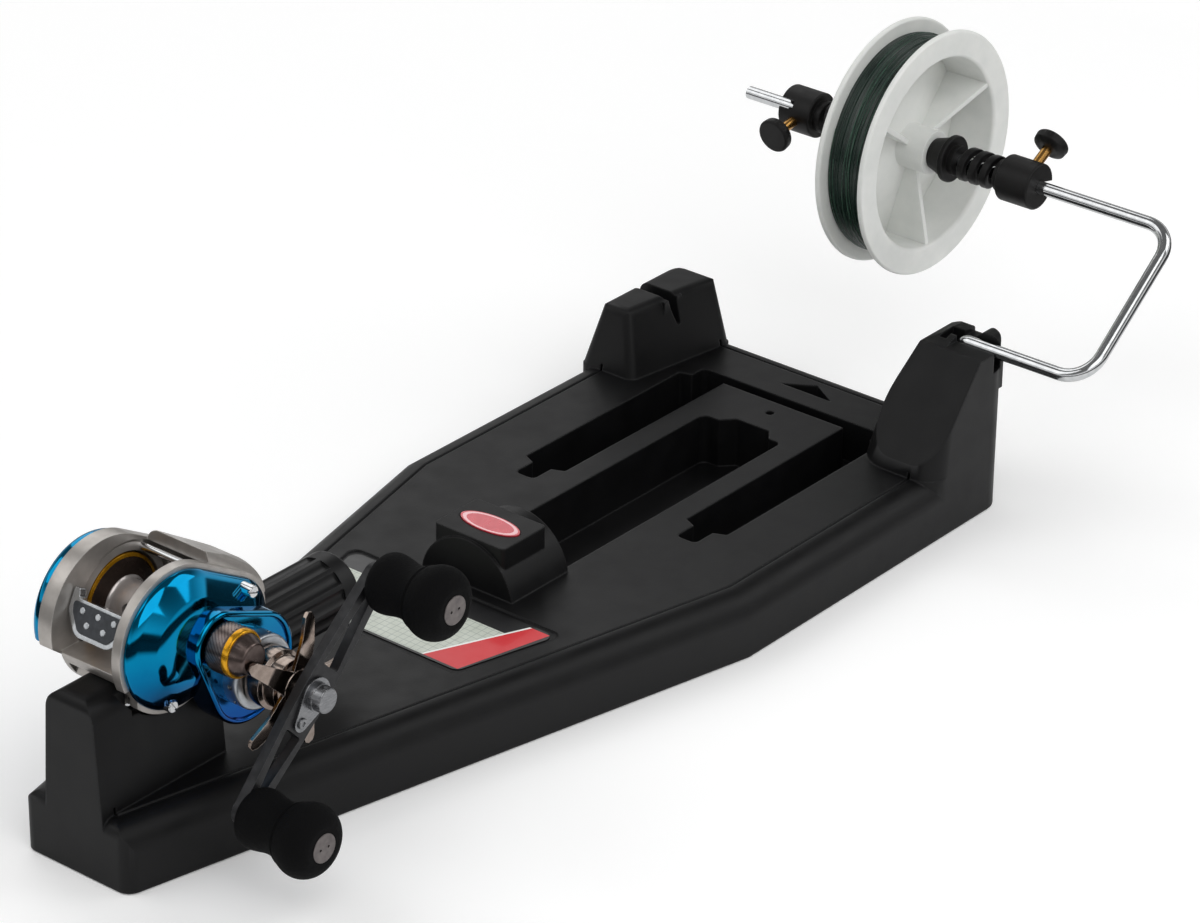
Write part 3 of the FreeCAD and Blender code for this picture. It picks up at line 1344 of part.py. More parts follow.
def handle_side_cover():
    """Dished handle-side plate with the raised gear housing, hollow behind."""
    plate = plate_hull(0, HANDLE_COVER_FACE, HANDLE_WALL_OUTER)
    plate = fillet_some(plate, COVER_EDGE_RADIUS, lambda edge: edge.BoundBox.YMax < HANDLE_COVER_FACE + 0.1)
    lobe_top = hull_xz(
        CRANK_X,
        CRANK_Z,
        GEAR_LOBE_RADIUS,
        SPOOL_X,
        SPOOL_AXIS_Z,
        SPOOL_LOBE_RADIUS,
        GEAR_COVER_FACE,
        HANDLE_WALL_OUTER,
    )
    lobe_top = fillet_some(
        lobe_top, COVER_EDGE_RADIUS, lambda edge: edge.BoundBox.YMax < GEAR_COVER_FACE + 0.1
    )
    inside = hull_xz(
        CRANK_X,
        CRANK_Z,
        GEAR_LOBE_RADIUS - COVER_WALL,
        SPOOL_X,
        SPOOL_AXIS_Z,
        SPOOL_LOBE_RADIUS - COVER_WALL,
        GEAR_COVER_FACE + COVER_WALL,
        HANDLE_WALL_OUTER + 1,
    )
    worm_room = rod_y(
        WORM_X,
        WORM_Z,
        WORM_TEETH * GEAR_MODULE / 2 + 1.2,
        HANDLE_COVER_FACE + COVER_WALL,
        HANDLE_WALL_OUTER + 1,
    )
    cap_hole = rod_y(SPOOL_X, SPOOL_AXIS_Z, SPOOL_BEARING_RADIUS, GEAR_COVER_FACE - 1, HANDLE_WALL_OUTER)
    shaft_hole = rod_y(
        CRANK_X, CRANK_Z, DRIVE_SHAFT_RADIUS + RUNNING_GAP, GEAR_COVER_FACE - 1, HANDLE_WALL_OUTER
    )
    screws = [
        rod_y(
            x, z, COVER_SCREW_RADIUS, HANDLE_COVER_FACE - 1, HANDLE_WALL_OUTER + 1
        ) for x, z in cover_screw_places()
    ]
    return without(joined([plate, lobe_top]), [inside, worm_room, cap_hole, shaft_hole] + screws)


def cover_screw_places():
    return [
        (along(REAR_SCREW_X), SPOOL_AXIS_Z - REAR_SCREW_DROP),
        (along(FRONT_SCREW_X), SPOOL_AXIS_Z + FRONT_SCREW_RISE),
    ]


def cover_screws():
    """Screws of the handle-side cover."""
    screws = []
    for x, z in cover_screw_places():
        shank = rod_y(
            x, z, COVER_SCREW_RADIUS - SEAT_GAP, HANDLE_COVER_FACE - 0.2, HANDLE_WALL_OUTER - SEAT_GAP
        )
        top = HANDLE_COVER_FACE - COVER_SCREW_HEAD_HEIGHT
        radius = COVER_SCREW_HEAD_RADIUS
        head = turned_y(
            x, z, [(0, top), (radius, top, radius / 3), (radius, HANDLE_COVER_FACE), (0, HANDLE_COVER_FACE)]
        )
        screws.append(joined([head, shank]))
    return Part.makeCompound(screws)


def palm_side_cover():
    """Domed palm-side cover over the spool hole."""
    body = plate_hull(0, PALM_WALL_OUTER, PALM_COVER_FACE).cut(palm_chord(0.0))
    body = fillet_some(body, PALM_EDGE_RADIUS, lambda edge: edge.BoundBox.YMin > PALM_COVER_FACE - 0.1)
    hollow = rod_y(SPOOL_X, SPOOL_AXIS_Z, FLANGE_RADIUS - 2.0, PALM_WALL_OUTER - 1, PALM_COVER_FACE - 2.2)
    start = PALM_BEARING_PLACE
    boss = rod_y(SPOOL_X, SPOOL_AXIS_Z, SPOOL_BEARING_RADIUS + 1.6, start, PALM_COVER_FACE - 2.0)
    seat = rod_y(SPOOL_X, SPOOL_AXIS_Z, SPOOL_BEARING_RADIUS, start - 1, start + SPOOL_BEARING_WIDTH)
    return without(joined([body.cut(hollow), boss]), [seat])


def guide_rail():
    return rod_y(along(RAIL_X), RAIL_Z, RAIL_RADIUS, HANDLE_WALL_INNER - 1.5, PALM_WALL_INNER + 1.5)


# ---------------------------------------------------------------- reel spool and drive
def reel_spool():
    """Ported spool: two flanges, drum and webs to the shaft."""
    y0 = HANDLE_WALL_OUTER + 2.0 + SPOOL_SIDE_GAP
    y1 = PALM_BEARING_PLACE - 0.6
    flange = FLANGE_THICKNESS
    shell = turned_y(
        SPOOL_X,
        SPOOL_AXIS_Z,
        [
            (DRUM_RADIUS - DRUM_WALL, y0 + flange),
            (DRUM_RADIUS - DRUM_WALL, y0),
            (FLANGE_RADIUS, y0, FLANGE_EDGE_ROUND),
            (FLANGE_RADIUS, y0 + flange, FLANGE_EDGE_ROUND),
            (DRUM_RADIUS, y0 + FLANGE_ROOT * flange, DRUM_ROOT_ROUND),
            (DRUM_RADIUS, y1 - FLANGE_ROOT * flange, DRUM_ROOT_ROUND),
            (FLANGE_RADIUS, y1 - flange, FLANGE_EDGE_ROUND),
            (FLANGE_RADIUS, y1, FLANGE_EDGE_ROUND),
            (DRUM_RADIUS - DRUM_WALL, y1),
            (DRUM_RADIUS - DRUM_WALL, y1 - flange),
        ],
    )
    web_y = y1 - SPOOL_WEB_PLACE
    web = rod_y(SPOOL_X, SPOOL_AXIS_Z, DRUM_RADIUS - 0.5, web_y, web_y + SPOOL_WEB)
    holes = []
    for row, offset in enumerate(DRUM_HOLE_ROWS):
        start = Vector(SPOOL_X, (y0 + y1) / 2 + offset, SPOOL_AXIS_Z)
        for index in range(DRUM_HOLES // 2):
            hole = Part.makeCylinder(DRUM_HOLE_RADIUS, 2 * DRUM_RADIUS, start, Vector(1, 0, 0))
            angle = 360.0 * (index + 0.5 * row) / (DRUM_HOLES // 2) + DRUM_HOLE_ANGLE
            holes.append(turned(hole, SPOOL_X, SPOOL_AXIS_Z, angle))
    bore = rod_y(SPOOL_X, SPOOL_AXIS_Z, SPOOL_SHAFT_RADIUS, y0 - 1, y1 + 1)
    return without(joined([without(shell, holes), web]), [bore])


def spool_shaft():
    y0 = GEAR_COVER_FACE - 2.0
    y1 = PALM_BEARING_PLACE + SPOOL_BEARING_WIDTH
    return rod_y(SPOOL_X, SPOOL_AXIS_Z, SPOOL_SHAFT_RADIUS, y0, y1)


def spool_bearings():
    """Ball bearings of the spool shaft, drawn as closed rings."""
    rings = []
    places = (HANDLE_WALL_OUTER - 0.6, PALM_BEARING_PLACE)
    for y in places:
        ring = rod_y(SPOOL_X, SPOOL_AXIS_Z, SPOOL_BEARING_RADIUS, y, y + SPOOL_BEARING_WIDTH)
        rings.append(ring.cut(rod_y(SPOOL_X, SPOOL_AXIS_Z, SPOOL_SHAFT_RADIUS + RUNNING_GAP, y - 1, y + 4)))
    return Part.makeCompound(rings)


def gear_blank(x, z, teeth, y0, y1, bore, phase):
    """Spur gear with straight-sided teeth and running backlash."""
    pitch_radius = GEAR_MODULE * teeth / 2
    pitch = 2 * math.pi / teeth
    tip = pitch_radius + TOOTH_TIP * GEAR_MODULE
    root = pitch_radius - TOOTH_ROOT * GEAR_MODULE
    corners = (
        (root, -TOOTH_ROOT_SHARE), (tip, -TOOTH_TIP_SHARE), (tip, TOOTH_TIP_SHARE), (root, TOOTH_ROOT_SHARE)
    )
    points = []
    for index in range(teeth):
        middle = index * pitch + math.radians(phase)
        for radius, share in corners:
            angle = middle + share * pitch
            points.append((x + radius * math.cos(angle), z + radius * math.sin(angle)))
    gear = slab_xz(points, y0, y1)
    return without(gear, [rod_y(x, z, bore, y0 - 1, y1 + 1)])


def main_gear():
    y1 = HANDLE_WALL_OUTER - MAIN_GEAR_PLACE
    toward_pinion = CRANK_BEARING_ANGLE + 180.0
    gear = gear_blank(
        CRANK_X, CRANK_Z, MAIN_TEETH, y1 - MAIN_GEAR_WIDTH, y1, DRIVE_SHAFT_RADIUS, toward_pinion
    )
    cup = rod_y(CRANK_X, CRANK_Z, MAIN_CUP_RADIUS, y1 - MAIN_GEAR_WIDTH - 1, y1 - MAIN_CUP_FLOOR)
    return without(gear, [cup])


def pinion_gear():
    y1 = HANDLE_WALL_OUTER - PINION_PLACE
    half_tooth = 180.0 / PINION_TEETH
    return gear_blank(
        SPOOL_X,
        SPOOL_AXIS_Z,
        PINION_TEETH,
        y1 - PINION_WIDTH,
        y1,
        SPOOL_SHAFT_RADIUS,
        CRANK_BEARING_ANGLE + half_tooth,
    )


def drag_washers():
    """Drag washer stack inside the cup of the main gear."""
    y1 = HANDLE_WALL_OUTER - MAIN_GEAR_PLACE - MAIN_CUP_FLOOR
    stack = rod_y(CRANK_X, CRANK_Z, WASHER_RADIUS, y1 - WASHER_HEIGHT, y1)
    return without(stack, [rod_y(CRANK_X, CRANK_Z, DRIVE_SHAFT_RADIUS, y1 - 4, y1 + 1)])


def worm_drive_gear():
    y1 = HANDLE_WALL_OUTER - WORM_GEAR_PLACE
    return gear_blank(
        CRANK_X, CRANK_Z, WORM_DRIVE_TEETH, y1 - WORM_GEAR_WIDTH, y1, DRIVE_SHAFT_RADIUS, WORM_BEARING_ANGLE
    )


def worm_gear():
    y1 = HANDLE_WALL_OUTER - WORM_GEAR_PLACE
    half_tooth = 180.0 / WORM_TEETH
    return gear_blank(
        WORM_X,
        WORM_Z,
        WORM_TEETH,
        y1 - WORM_GEAR_WIDTH,
        y1,
        WORM_RADIUS - WORM_STEM_STEP,
        WORM_BEARING_ANGLE + 180.0 + half_tooth,
    )


def worm_shaft():
    """Level-wind shaft with its crossed groove drawn as shallow rings."""
    y0 = HANDLE_WALL_INNER + 1.0
    y1 = PALM_WALL_INNER - 1.0
    body = rod_y(WORM_X, WORM_Z, WORM_RADIUS, HANDLE_WALL_OUTER + 0.2, PALM_WALL_INNER + 1.4)
    stem = rod_y(WORM_X, WORM_Z, WORM_RADIUS - WORM_STEM_STEP, HANDLE_WALL_OUTER - 3.6, HANDLE_WALL_OUTER + 1)
    rings = []
    for index in range(WORM_RINGS):
        y = y0 + (index + 0.5) * (y1 - y0) / WORM_RINGS
        ring = rod_y(WORM_X, WORM_Z, WORM_RADIUS + 1, y - WORM_RING_HALF, y + WORM_RING_HALF)
        rings.append(ring.cut(rod_y(WORM_X, WORM_Z, WORM_RADIUS - WORM_RING_DEPTH, y - 1, y + 1)))
    return without(joined([body, stem]), rings)


def line_guide():
    """Level-wind carriage with its eyelet, riding on the worm."""
    middle = (HANDLE_WALL_INNER + PALM_WALL_INNER) / 2
    half = GUIDE_HALF
    body = slab_xz(
        [
            (WORM_X - GUIDE_REAR, WORM_Z - GUIDE_REAR, GUIDE_EDGE_ROUND),
            (WORM_X + GUIDE_FRONT, WORM_Z - GUIDE_REAR, GUIDE_EDGE_ROUND),
            (WORM_X + GUIDE_FRONT + 0.4, WORM_Z + GUIDE_RISE, GUIDE_CROWN_ROUND),
            (WORM_X + GUIDE_NECK, WORM_Z + GUIDE_RISE, GUIDE_CROWN_ROUND),
            (WORM_X - GUIDE_REAR, WORM_Z + GUIDE_REAR, GUIDE_EDGE_ROUND),
        ],
        middle - half,
        middle + half,
    )
    bore = rod_y(WORM_X, WORM_Z, WORM_RADIUS + RUNNING_GAP, middle - half - 1, middle + half + 1)
    eye = Part.makeCylinder(
        GUIDE_EYE_RADIUS, 12, Vector(WORM_X - 2, middle, WORM_Z + GUIDE_EYE_RISE), Vector(1, 0, 0)
    )
    return without(body, [bore, eye])


def drive_shaft():
    """Crank shaft from the frame to the handle nut."""
    return rod_y(CRANK_X, CRANK_Z, DRIVE_SHAFT_RADIUS, ARM_FACE - 2.0, HANDLE_WALL_INNER + 0.6)


def drag_ring():
    """Ring with holes around the drive shaft, on the gear cover."""
    y1 = GEAR_COVER_FACE
    y0 = y1 - DRAG_RING_WIDTH
    ring = turned_y(
        CRANK_X,
        CRANK_Z,
        [
            (DRIVE_SHAFT_RADIUS + DRAG_RING_BORE_GAP, y0),
            (DRAG_RING_RADIUS - DRAG_RING_FACE_STEP, y0),
            (DRAG_RING_RADIUS, y0 + DRAG_RING_CHAMFER, DRAG_RING_CHAMFER / 2),
            (DRAG_RING_RADIUS, y1),
            (DRIVE_SHAFT_RADIUS + DRAG_RING_BORE_GAP, y1),
        ],
    )
    clear = rod_y(SPOOL_X, SPOOL_AXIS_Z, CAP_RADIUS + 0.4, y0 - 1, y1 + 1)
    holes = []
    for index in range(DRAG_RING_HOLES):
        hole = Part.makeCylinder(
            DRAG_HOLE_RADIUS,
            2 * DRAG_HOLE_DEPTH,
            Vector(CRANK_X + DRAG_RING_RADIUS - DRAG_HOLE_DEPTH, (y0 + y1) / 2 + 0.4, CRANK_Z),
            Vector(1, 0, 0),
        )
        holes.append(turned(hole, CRANK_X, CRANK_Z, 360.0 * index / DRAG_RING_HOLES + DRAG_HOLE_ANGLE))
    return without(ring, [clear] + holes)


def cast_control_cap():
    """Knurled cap on the spool axis."""
    y1 = GEAR_COVER_FACE - 0.2
    y0 = y1 - CAP_KNURL_LENGTH
    nose = y0 - CAP_RING_WIDTH
    body = turned_y(
        SPOOL_X,
        SPOOL_AXIS_Z,
        [
            (0, y1),
            (CAP_RADIUS, y1, 0.5),
            (CAP_RADIUS, y0),
            (CAP_RADIUS - CAP_STEP, y0),
            (CAP_RADIUS - CAP_STEP, nose),
            (CAP_NOSE_RADIUS, nose - CAP_NOSE_LENGTH, CAP_NOSE_ROUND),
            (0, nose - CAP_NOSE_LENGTH),
        ],
    )
    bore = rod_y(SPOOL_X, SPOOL_AXIS_Z, SPOOL_SHAFT_RADIUS + 0.4, y1 - CAP_BORE_DEPTH, y1 + 1)
    return without(body, [bore])


def cap_ring():
    """Bright ring pressed on the cap's nose."""
    y1 = GEAR_COVER_FACE - 0.2 - CAP_KNURL_LENGTH
    y0 = y1 - CAP_RING_WIDTH
    ring = turned_y(
        SPOOL_X,
        SPOOL_AXIS_Z,
        [
            (CAP_RADIUS - CAP_STEP, y0),
            (CAP_RADIUS - CAP_STEP / 2 + CAP_RING_PROUD, y0, 2 * CAP_RING_PROUD),
            (CAP_RADIUS + CAP_RING_PROUD, y0 + CAP_RING_BEVEL),
            (CAP_RADIUS + CAP_RING_PROUD, y1),
            (CAP_RADIUS - CAP_STEP, y1),
        ],
    )
    return ring


def star_drag():
    """Star wheel with curved arms on a stepped hub."""
    y1 = STAR_PLACE
    y0 = y1 - STAR_HUB_LENGTH
    hub = turned_y(
        CRANK_X,
        CRANK_Z,
        [
            (DRIVE_SHAFT_RADIUS + RUNNING_GAP, y0),
            (STAR_NOSE_RADIUS - 2.5 * STAR_NECK, y0, 1.5 * STAR_NECK),
            (STAR_NOSE_RADIUS, y0 + STAR_NOSE_LENGTH),
            (STAR_WAIST_RADIUS, y0 + STAR_NOSE_LENGTH + STAR_NECK),
            (STAR_WAIST_RADIUS, y0 + STAR_WAIST_END),
            (STAR_HUB_RADIUS, y0 + STAR_WAIST_END + STAR_SHOULDER),
            (STAR_HUB_RADIUS, y1, 1.5 * STAR_NECK),
            (DRIVE_SHAFT_RADIUS + RUNNING_GAP, y1),
        ],
    )
    arms = []
    for index in range(STAR_ARMS):
        arm = star_arm(y0)
        arms.append(turned(arm, CRANK_X, CRANK_Z, STAR_START_ANGLE + 360.0 * index / STAR_ARMS))
    return joined([hub] + arms)


def star_arm(y0):
    """One arm along +X from the hub, curving back towards the reel."""
    root = STAR_NOSE_RADIUS - STAR_ROOT_DEPTH
    face = y0 + STAR_NECK
    thick = STAR_ARM_THICKNESS
    profile = [
        (root, face),
        (STAR_REACH * STAR_BEND_SHARE, face, STAR_BEND_ROUND),
        (STAR_REACH, face + STAR_ARM_CURL, STAR_NECK),
        (STAR_REACH - STAR_NECK, face + STAR_ARM_CURL + thick, STAR_NECK),
        (STAR_REACH * STAR_BEND_SHARE - 0.5, face + thick, STAR_BEND_ROUND - 1),
        (root, face + thick),
    ]
    wire = outline(profile, lambda u, v: Vector(CRANK_X + u, v, CRANK_Z))
    solid = Part.Face(wire).extrude(Vector(0, 0, 10))
    solid.translate(Vector(0, 0, -5))
    plan = [
        (CRANK_X + root - 0.5, CRANK_Z - STAR_ROOT_HALF),
        (CRANK_X + STAR_REACH - STAR_TIP_LENGTH, CRANK_Z - STAR_TIP_HALF, STAR_TIP_LENGTH),
        (CRANK_X + STAR_REACH + STAR_TIP_LENGTH / 2, CRANK_Z + STAR_NECK, STAR_TIP_LENGTH / 2),
        (CRANK_X + STAR_REACH - STAR_TIP_LENGTH, CRANK_Z + STAR_TIP_HALF, STAR_TIP_LENGTH),
        (CRANK_X + root - 0.5, CRANK_Z + STAR_ROOT_HALF),
    ]
    return solid.common(slab_xz(plan, y0 - 5, y0 + 15))


# ---------------------------------------------------------------- handle
def handle_arm():
    """Double handle with a wide hub, round ends and two long windows."""
    hub = rod_y(CRANK_X, CRANK_Z, ARM_HUB_HALF, ARM_FACE, ARM_FACE + ARM_THICKNESS)
    parts = [hub]
    windows = [rod_y(CRANK_X, CRANK_Z, DRIVE_SHAFT_RADIUS, ARM_FACE - 1, ARM_FACE + ARM_THICKNESS + 1)]
    for side, window_start in WINDOW_STARTS.items():
        arm = slab_xz(
            [
                (CRANK_X, CRANK_Z - ARM_HUB_HALF),
                (CRANK_X + ARM_SHOULDER, CRANK_Z - ARM_HUB_HALF + SHOULDER_EASE, SHOULDER_ROUND),
                (CRANK_X + ARM_THROW, CRANK_Z - ARM_TIP_RADIUS),
                (CRANK_X + ARM_THROW, CRANK_Z + ARM_TIP_RADIUS),
                (CRANK_X + ARM_SHOULDER, CRANK_Z + ARM_HUB_HALF - SHOULDER_EASE, SHOULDER_ROUND),
                (CRANK_X, CRANK_Z + ARM_HUB_HALF),
            ],
            ARM_FACE,
            ARM_FACE + ARM_THICKNESS,
        )
        tip = rod_y(CRANK_X + ARM_THROW, CRANK_Z, ARM_TIP_RADIUS, ARM_FACE, ARM_FACE + ARM_THICKNESS)
        window = slab_xz(
            [
                (CRANK_X + window_start, CRANK_Z - WINDOW_HALF, WINDOW_ROUND),
                (CRANK_X + ARM_THROW - WINDOW_END, CRANK_Z - WINDOW_TIP_HALF, WINDOW_TIP_ROUND),
                (CRANK_X + ARM_THROW - WINDOW_END, CRANK_Z + WINDOW_TIP_HALF, WINDOW_TIP_ROUND),
                (CRANK_X + window_start, CRANK_Z + WINDOW_HALF, WINDOW_ROUND),
            ],
            ARM_FACE - 1,
            ARM_FACE + ARM_THICKNESS + 1,
        )
        pivot = rod_y(
            CRANK_X + ARM_THROW, CRANK_Z, SPINDLE_RADIUS, ARM_FACE - 1, ARM_FACE + ARM_THICKNESS + 1
        )
        parts += [
            turned(arm, CRANK_X, CRANK_Z, ARM_ANGLE + side), turned(tip, CRANK_X, CRANK_Z, ARM_ANGLE + side)
        ]
        windows += [
            turned(window, CRANK_X, CRANK_Z, ARM_ANGLE + side),
            turned(pivot, CRANK_X, CRANK_Z, ARM_ANGLE + side),
        ]
    return without(joined(parts), windows)


def knob_centre(side):
    angle = math.radians(ARM_ANGLE + side)
    return CRANK_X + ARM_THROW * math.cos(angle), CRANK_Z + ARM_THROW * math.sin(angle)


def knob_spindles():
    """Riveted spindles that the knobs turn on."""
    pins = []
    for side in (0, 180):
        x, z = knob_centre(side)
        pin = rod_y(
            x,
            z,
            SPINDLE_RADIUS,
            ARM_FACE - KNOB_GAP - KNOB_LENGTH + SPINDLE_END_COVER,
            ARM_FACE + ARM_THICKNESS,
        )
        back = ARM_FACE + ARM_THICKNESS
        head = rod_y(x, z, SPINDLE_HEAD_RADIUS, back, back + SPINDLE_HEAD_HEIGHT)
        pins.append(joined([pin, head]))
    return Part.makeCompound(pins)


def handle_knob(side):
    """Waisted foam knob."""
    x, z = knob_centre(side)
    y1 = ARM_FACE - KNOB_GAP
    bore = SPINDLE_RADIUS + RUNNING_GAP
    points = [
        Vector(x + radius * KNOB_BULB_RADIUS, y1 - depth * KNOB_LENGTH, z) for radius, depth in KNOB_MARKS
    ]
    curve = Part.BSplineCurve()
    curve.interpolate(points)
    side_edge = curve.toShape()
    end = Vector(x + bore, y1 - KNOB_LENGTH, z)
    base = Vector(x + bore, y1, z)
    edges = [
        side_edge,
        Part.LineSegment(points[-1], end).toShape(),
        Part.LineSegment(end, base).toShape(),
        Part.LineSegment(base, points[0]).toShape(),
    ]
    face = Part.Face(Part.Wire(edges))
    solid = face.revolve(Vector(x, 0, z), Vector(0, 1, 0), 360)
    cap_seat = rod_y(x, z, KNOB_CAP_RADIUS, y1 - KNOB_LENGTH - 1, y1 - KNOB_LENGTH + KNOB_CAP_DEPTH)
    return without(solid, [cap_seat])


def knob_cap(side):
    """Round metal cap in the end of a knob, with two small holes."""
    x, z = knob_centre(side)
    end = ARM_FACE - KNOB_GAP - KNOB_LENGTH
    face, back = end - KNOB_CAP_RISE, end + KNOB_CAP_DEPTH
    cap = turned_y(x, z, [(0, face), (KNOB_CAP_RADIUS, face, 0.25), (KNOB_CAP_RADIUS, back), (0, back)])
    steps = (-KNOB_CAP_HOLE_STEP, KNOB_CAP_HOLE_STEP)
    holes = [rod_y(x + step, z, KNOB_CAP_HOLE_RADIUS, end - 1, end + 0.8) for step in steps]
    return without(cap, holes)


def handle_plate():
    """Retainer plate around the nut, with a lug for the locking screw."""
    y0 = ARM_FACE - PLATE_THICKNESS
    angle = math.radians(ARM_ANGLE + 180)
    bx = CRANK_X + PLATE_SCREW_REACH * math.cos(angle)
    bz = CRANK_Z + PLATE_SCREW_REACH * math.sin(angle)
    plate = hull_xz(CRANK_X, CRANK_Z, NUT_RADIUS + PLATE_RIM, bx, bz, PLATE_LUG_RADIUS, y0, ARM_FACE)
    return without(plate, [rod_y(CRANK_X, CRANK_Z, DRIVE_SHAFT_RADIUS, y0 - 1, ARM_FACE + 1)])


def plate_screw():
    y1 = ARM_FACE - PLATE_THICKNESS
    angle = math.radians(ARM_ANGLE + 180)
    x = CRANK_X + PLATE_SCREW_REACH * math.cos(angle)
    z = CRANK_Z + PLATE_SCREW_REACH * math.sin(angle)
    top = y1 - PLATE_SCREW_HEIGHT
    radius = PLATE_SCREW_RADIUS
    head = turned_y(x, z, [(0, top), (radius, top, radius / 5), (radius, y1), (0, y1)])
    return without(head, [rod_y(x, z, PLATE_SCREW_SOCKET, top - 1, top + PLATE_SCREW_HEIGHT / 2)])


def handle_nut():
    y1 = ARM_FACE - PLATE_THICKNESS
    y0 = y1 - NUT_HEIGHT
    body = turned_y(
        CRANK_X,
        CRANK_Z,
        [
            (0, y0),
            (NUT_RADIUS - NUT_TOP_STEP, y0, NUT_TOP_STEP),
            (NUT_RADIUS - NUT_SIDE_STEP, y1 - NUT_SKIRT),
            (NUT_RADIUS, y1 - NUT_SKIRT),
            (NUT_RADIUS, y1),
            (0, y1),
        ],
    )
    return without(body, [rod_y(CRANK_X, CRANK_Z, DRIVE_SHAFT_RADIUS, y1 - 1.0, y1 + 1)])


# ---------------------------------------------------------------- thumb bar
def thumb_slab(corners, low, high):
    """Slab in the thumb bar's leaning plane from corners (y, height up the plane)."""
    slab = slab_yz(corners, low, high)
    slab.rotate(Vector(0, 0, 0), Vector(0, 1, 0), THUMB_LEAN)
    slab.translate(Vector(along(THUMB_X), 0, THUMB_Z))
    return slab


def thumb_bar():
    """Shield-shaped thumb bar between the frame walls, with a recess for its pad."""
    low = HANDLE_WALL_INNER + THUMB_SIDE_GAP
    high = PALM_WALL_INNER - THUMB_SIDE_GAP
    outline_corners = [
        (low, THUMB_RISE, 0.8),
        (low + THUMB_HORN, THUMB_RISE, 0.8),
        (low + THUMB_HORN_FOOT, THUMB_RISE - THUMB_HORN_FOOT, 1.5),
        (high - THUMB_HORN_FOOT, THUMB_RISE - THUMB_HORN_FOOT, 1.5),
        (high - THUMB_HORN, THUMB_RISE, 0.8),
        (high, THUMB_RISE, 0.8),
        (high, THUMB_SIDE_BREAK, 4.0),
        (high - THUMB_TAPER, -THUMB_DROP, 5.0),
        (low + THUMB_TAPER, -THUMB_DROP, 5.0),
        (low, THUMB_SIDE_BREAK, 4.0),
    ]
    bar = thumb_slab(outline_corners, 0, THUMB_THICKNESS)
    return without(bar, [thumb_slab(thumb_pad_corners(0.0), -1, THUMB_PAD_DEPTH)])


def thumb_pad_corners(shrink):
    low = HANDLE_WALL_INNER + THUMB_SIDE_GAP + THUMB_RIM + shrink
    high = PALM_WALL_INNER - THUMB_SIDE_GAP - THUMB_RIM - shrink
    top = THUMB_RISE - THUMB_PAD_TOP - shrink
    bottom = -THUMB_DROP + THUMB_PAD_BOTTOM + shrink
    return [
        (low, top, 1.2),
        (high, top, 1.2),
        (high - 1.0, THUMB_SIDE_BREAK, 2.5),
        (high - THUMB_PAD_TAPER, bottom, 3.5),
        (low + THUMB_PAD_TAPER, bottom, 3.5),
        (low + 1.0, THUMB_SIDE_BREAK, 2.5),
    ]


def thumb_pad():
    """Soft grey insert with a pattern of dimples."""
    pad = thumb_slab(thumb_pad_corners(0.1), -0.3, THUMB_PAD_DEPTH)
    middle = (HANDLE_WALL_INNER + PALM_WALL_INNER) / 2
    dots = []
    for rise, steps in DIMPLES:
        for step in steps:
            dot = Part.makeCylinder(DIMPLE_RADIUS, 1.0, Vector(-1.0, middle + step, rise), Vector(1, 0, 0))
            dot.rotate(Vector(0, 0, 0), Vector(0, 1, 0), THUMB_LEAN)
            dot.translate(Vector(along(THUMB_X), 0, THUMB_Z))
            dots.append(dot)
    return without(pad, dots)


# ---------------------------------------------------------------- bail and supply spool
def line_bail():
    """Bent wire: hook, lower leg, riser and the long upper leg that is the spool's arbor."""
    x0 = along(BAIL_FOOT_X)
    points = [
        Vector(x0, HOOK_Y, BAIL_FOOT_Z - HOOK_DROP),
        Vector(x0, HOOK_Y, BAIL_FOOT_Z),
        Vector(x0, BAIL_SIDE_Y, BAIL_FOOT_Z),
        Vector(BAIL_TOP_X, BAIL_SIDE_Y, BAIL_TOP_Z),
        Vector(BAIL_TOP_X, BAIL_FREE_END_Y, BAIL_TOP_Z),
    ]
    return bent_rod(points, [HOOK_BEND_RADIUS, BAIL_BEND_RADIUS, BAIL_BEND_RADIUS], WIRE_RADIUS)


def supply_web():
    """Coned web between hub and drum, as a turned ring."""
    near = SUPPLY_Y - SUPPLY_WIDTH / 2
    far = SUPPLY_Y + SUPPLY_WIDTH / 2
    inner = SUPPLY_HUB_RADIUS - SUPPLY_WEB
    outer = SUPPLY_CORE_RADIUS + SUPPLY_CORE_WALL / 2
    corners = [
        (inner, near + SUPPLY_WEB_DEPTH),
        (outer, far - SUPPLY_WEB),
        (outer, far),
        (SUPPLY_CORE_RADIUS, far),
        (inner, near + SUPPLY_WEB_DEPTH + SUPPLY_WEB),
    ]
    return turned_y(BAIL_TOP_X, BAIL_TOP_Z, corners)


def supply_fin(angle):
    """Thin fin from hub to drum, its near edge sloping down to the hub."""
    near = SUPPLY_Y - SUPPLY_WIDTH / 2
    far = SUPPLY_Y + SUPPLY_WIDTH / 2
    inner = BAIL_TOP_X + SUPPLY_HUB_RADIUS - SUPPLY_WEB
    outer = BAIL_TOP_X + SUPPLY_CORE_RADIUS + SUPPLY_CORE_WALL / 2
    corners = [
        (inner, near + SUPPLY_FIN_HUB_DEPTH),
        (outer, near + SUPPLY_FIN_RIM_DEPTH),
        (outer, far - SUPPLY_WEB / 2),
        (inner, near + SUPPLY_WEB_DEPTH + SUPPLY_WEB / 2),
    ]
    half = SUPPLY_FIN_THICKNESS / 2
    fin = slab_xy(corners, BAIL_TOP_Z - half, BAIL_TOP_Z + half)
    return turned(fin, BAIL_TOP_X, BAIL_TOP_Z, angle)


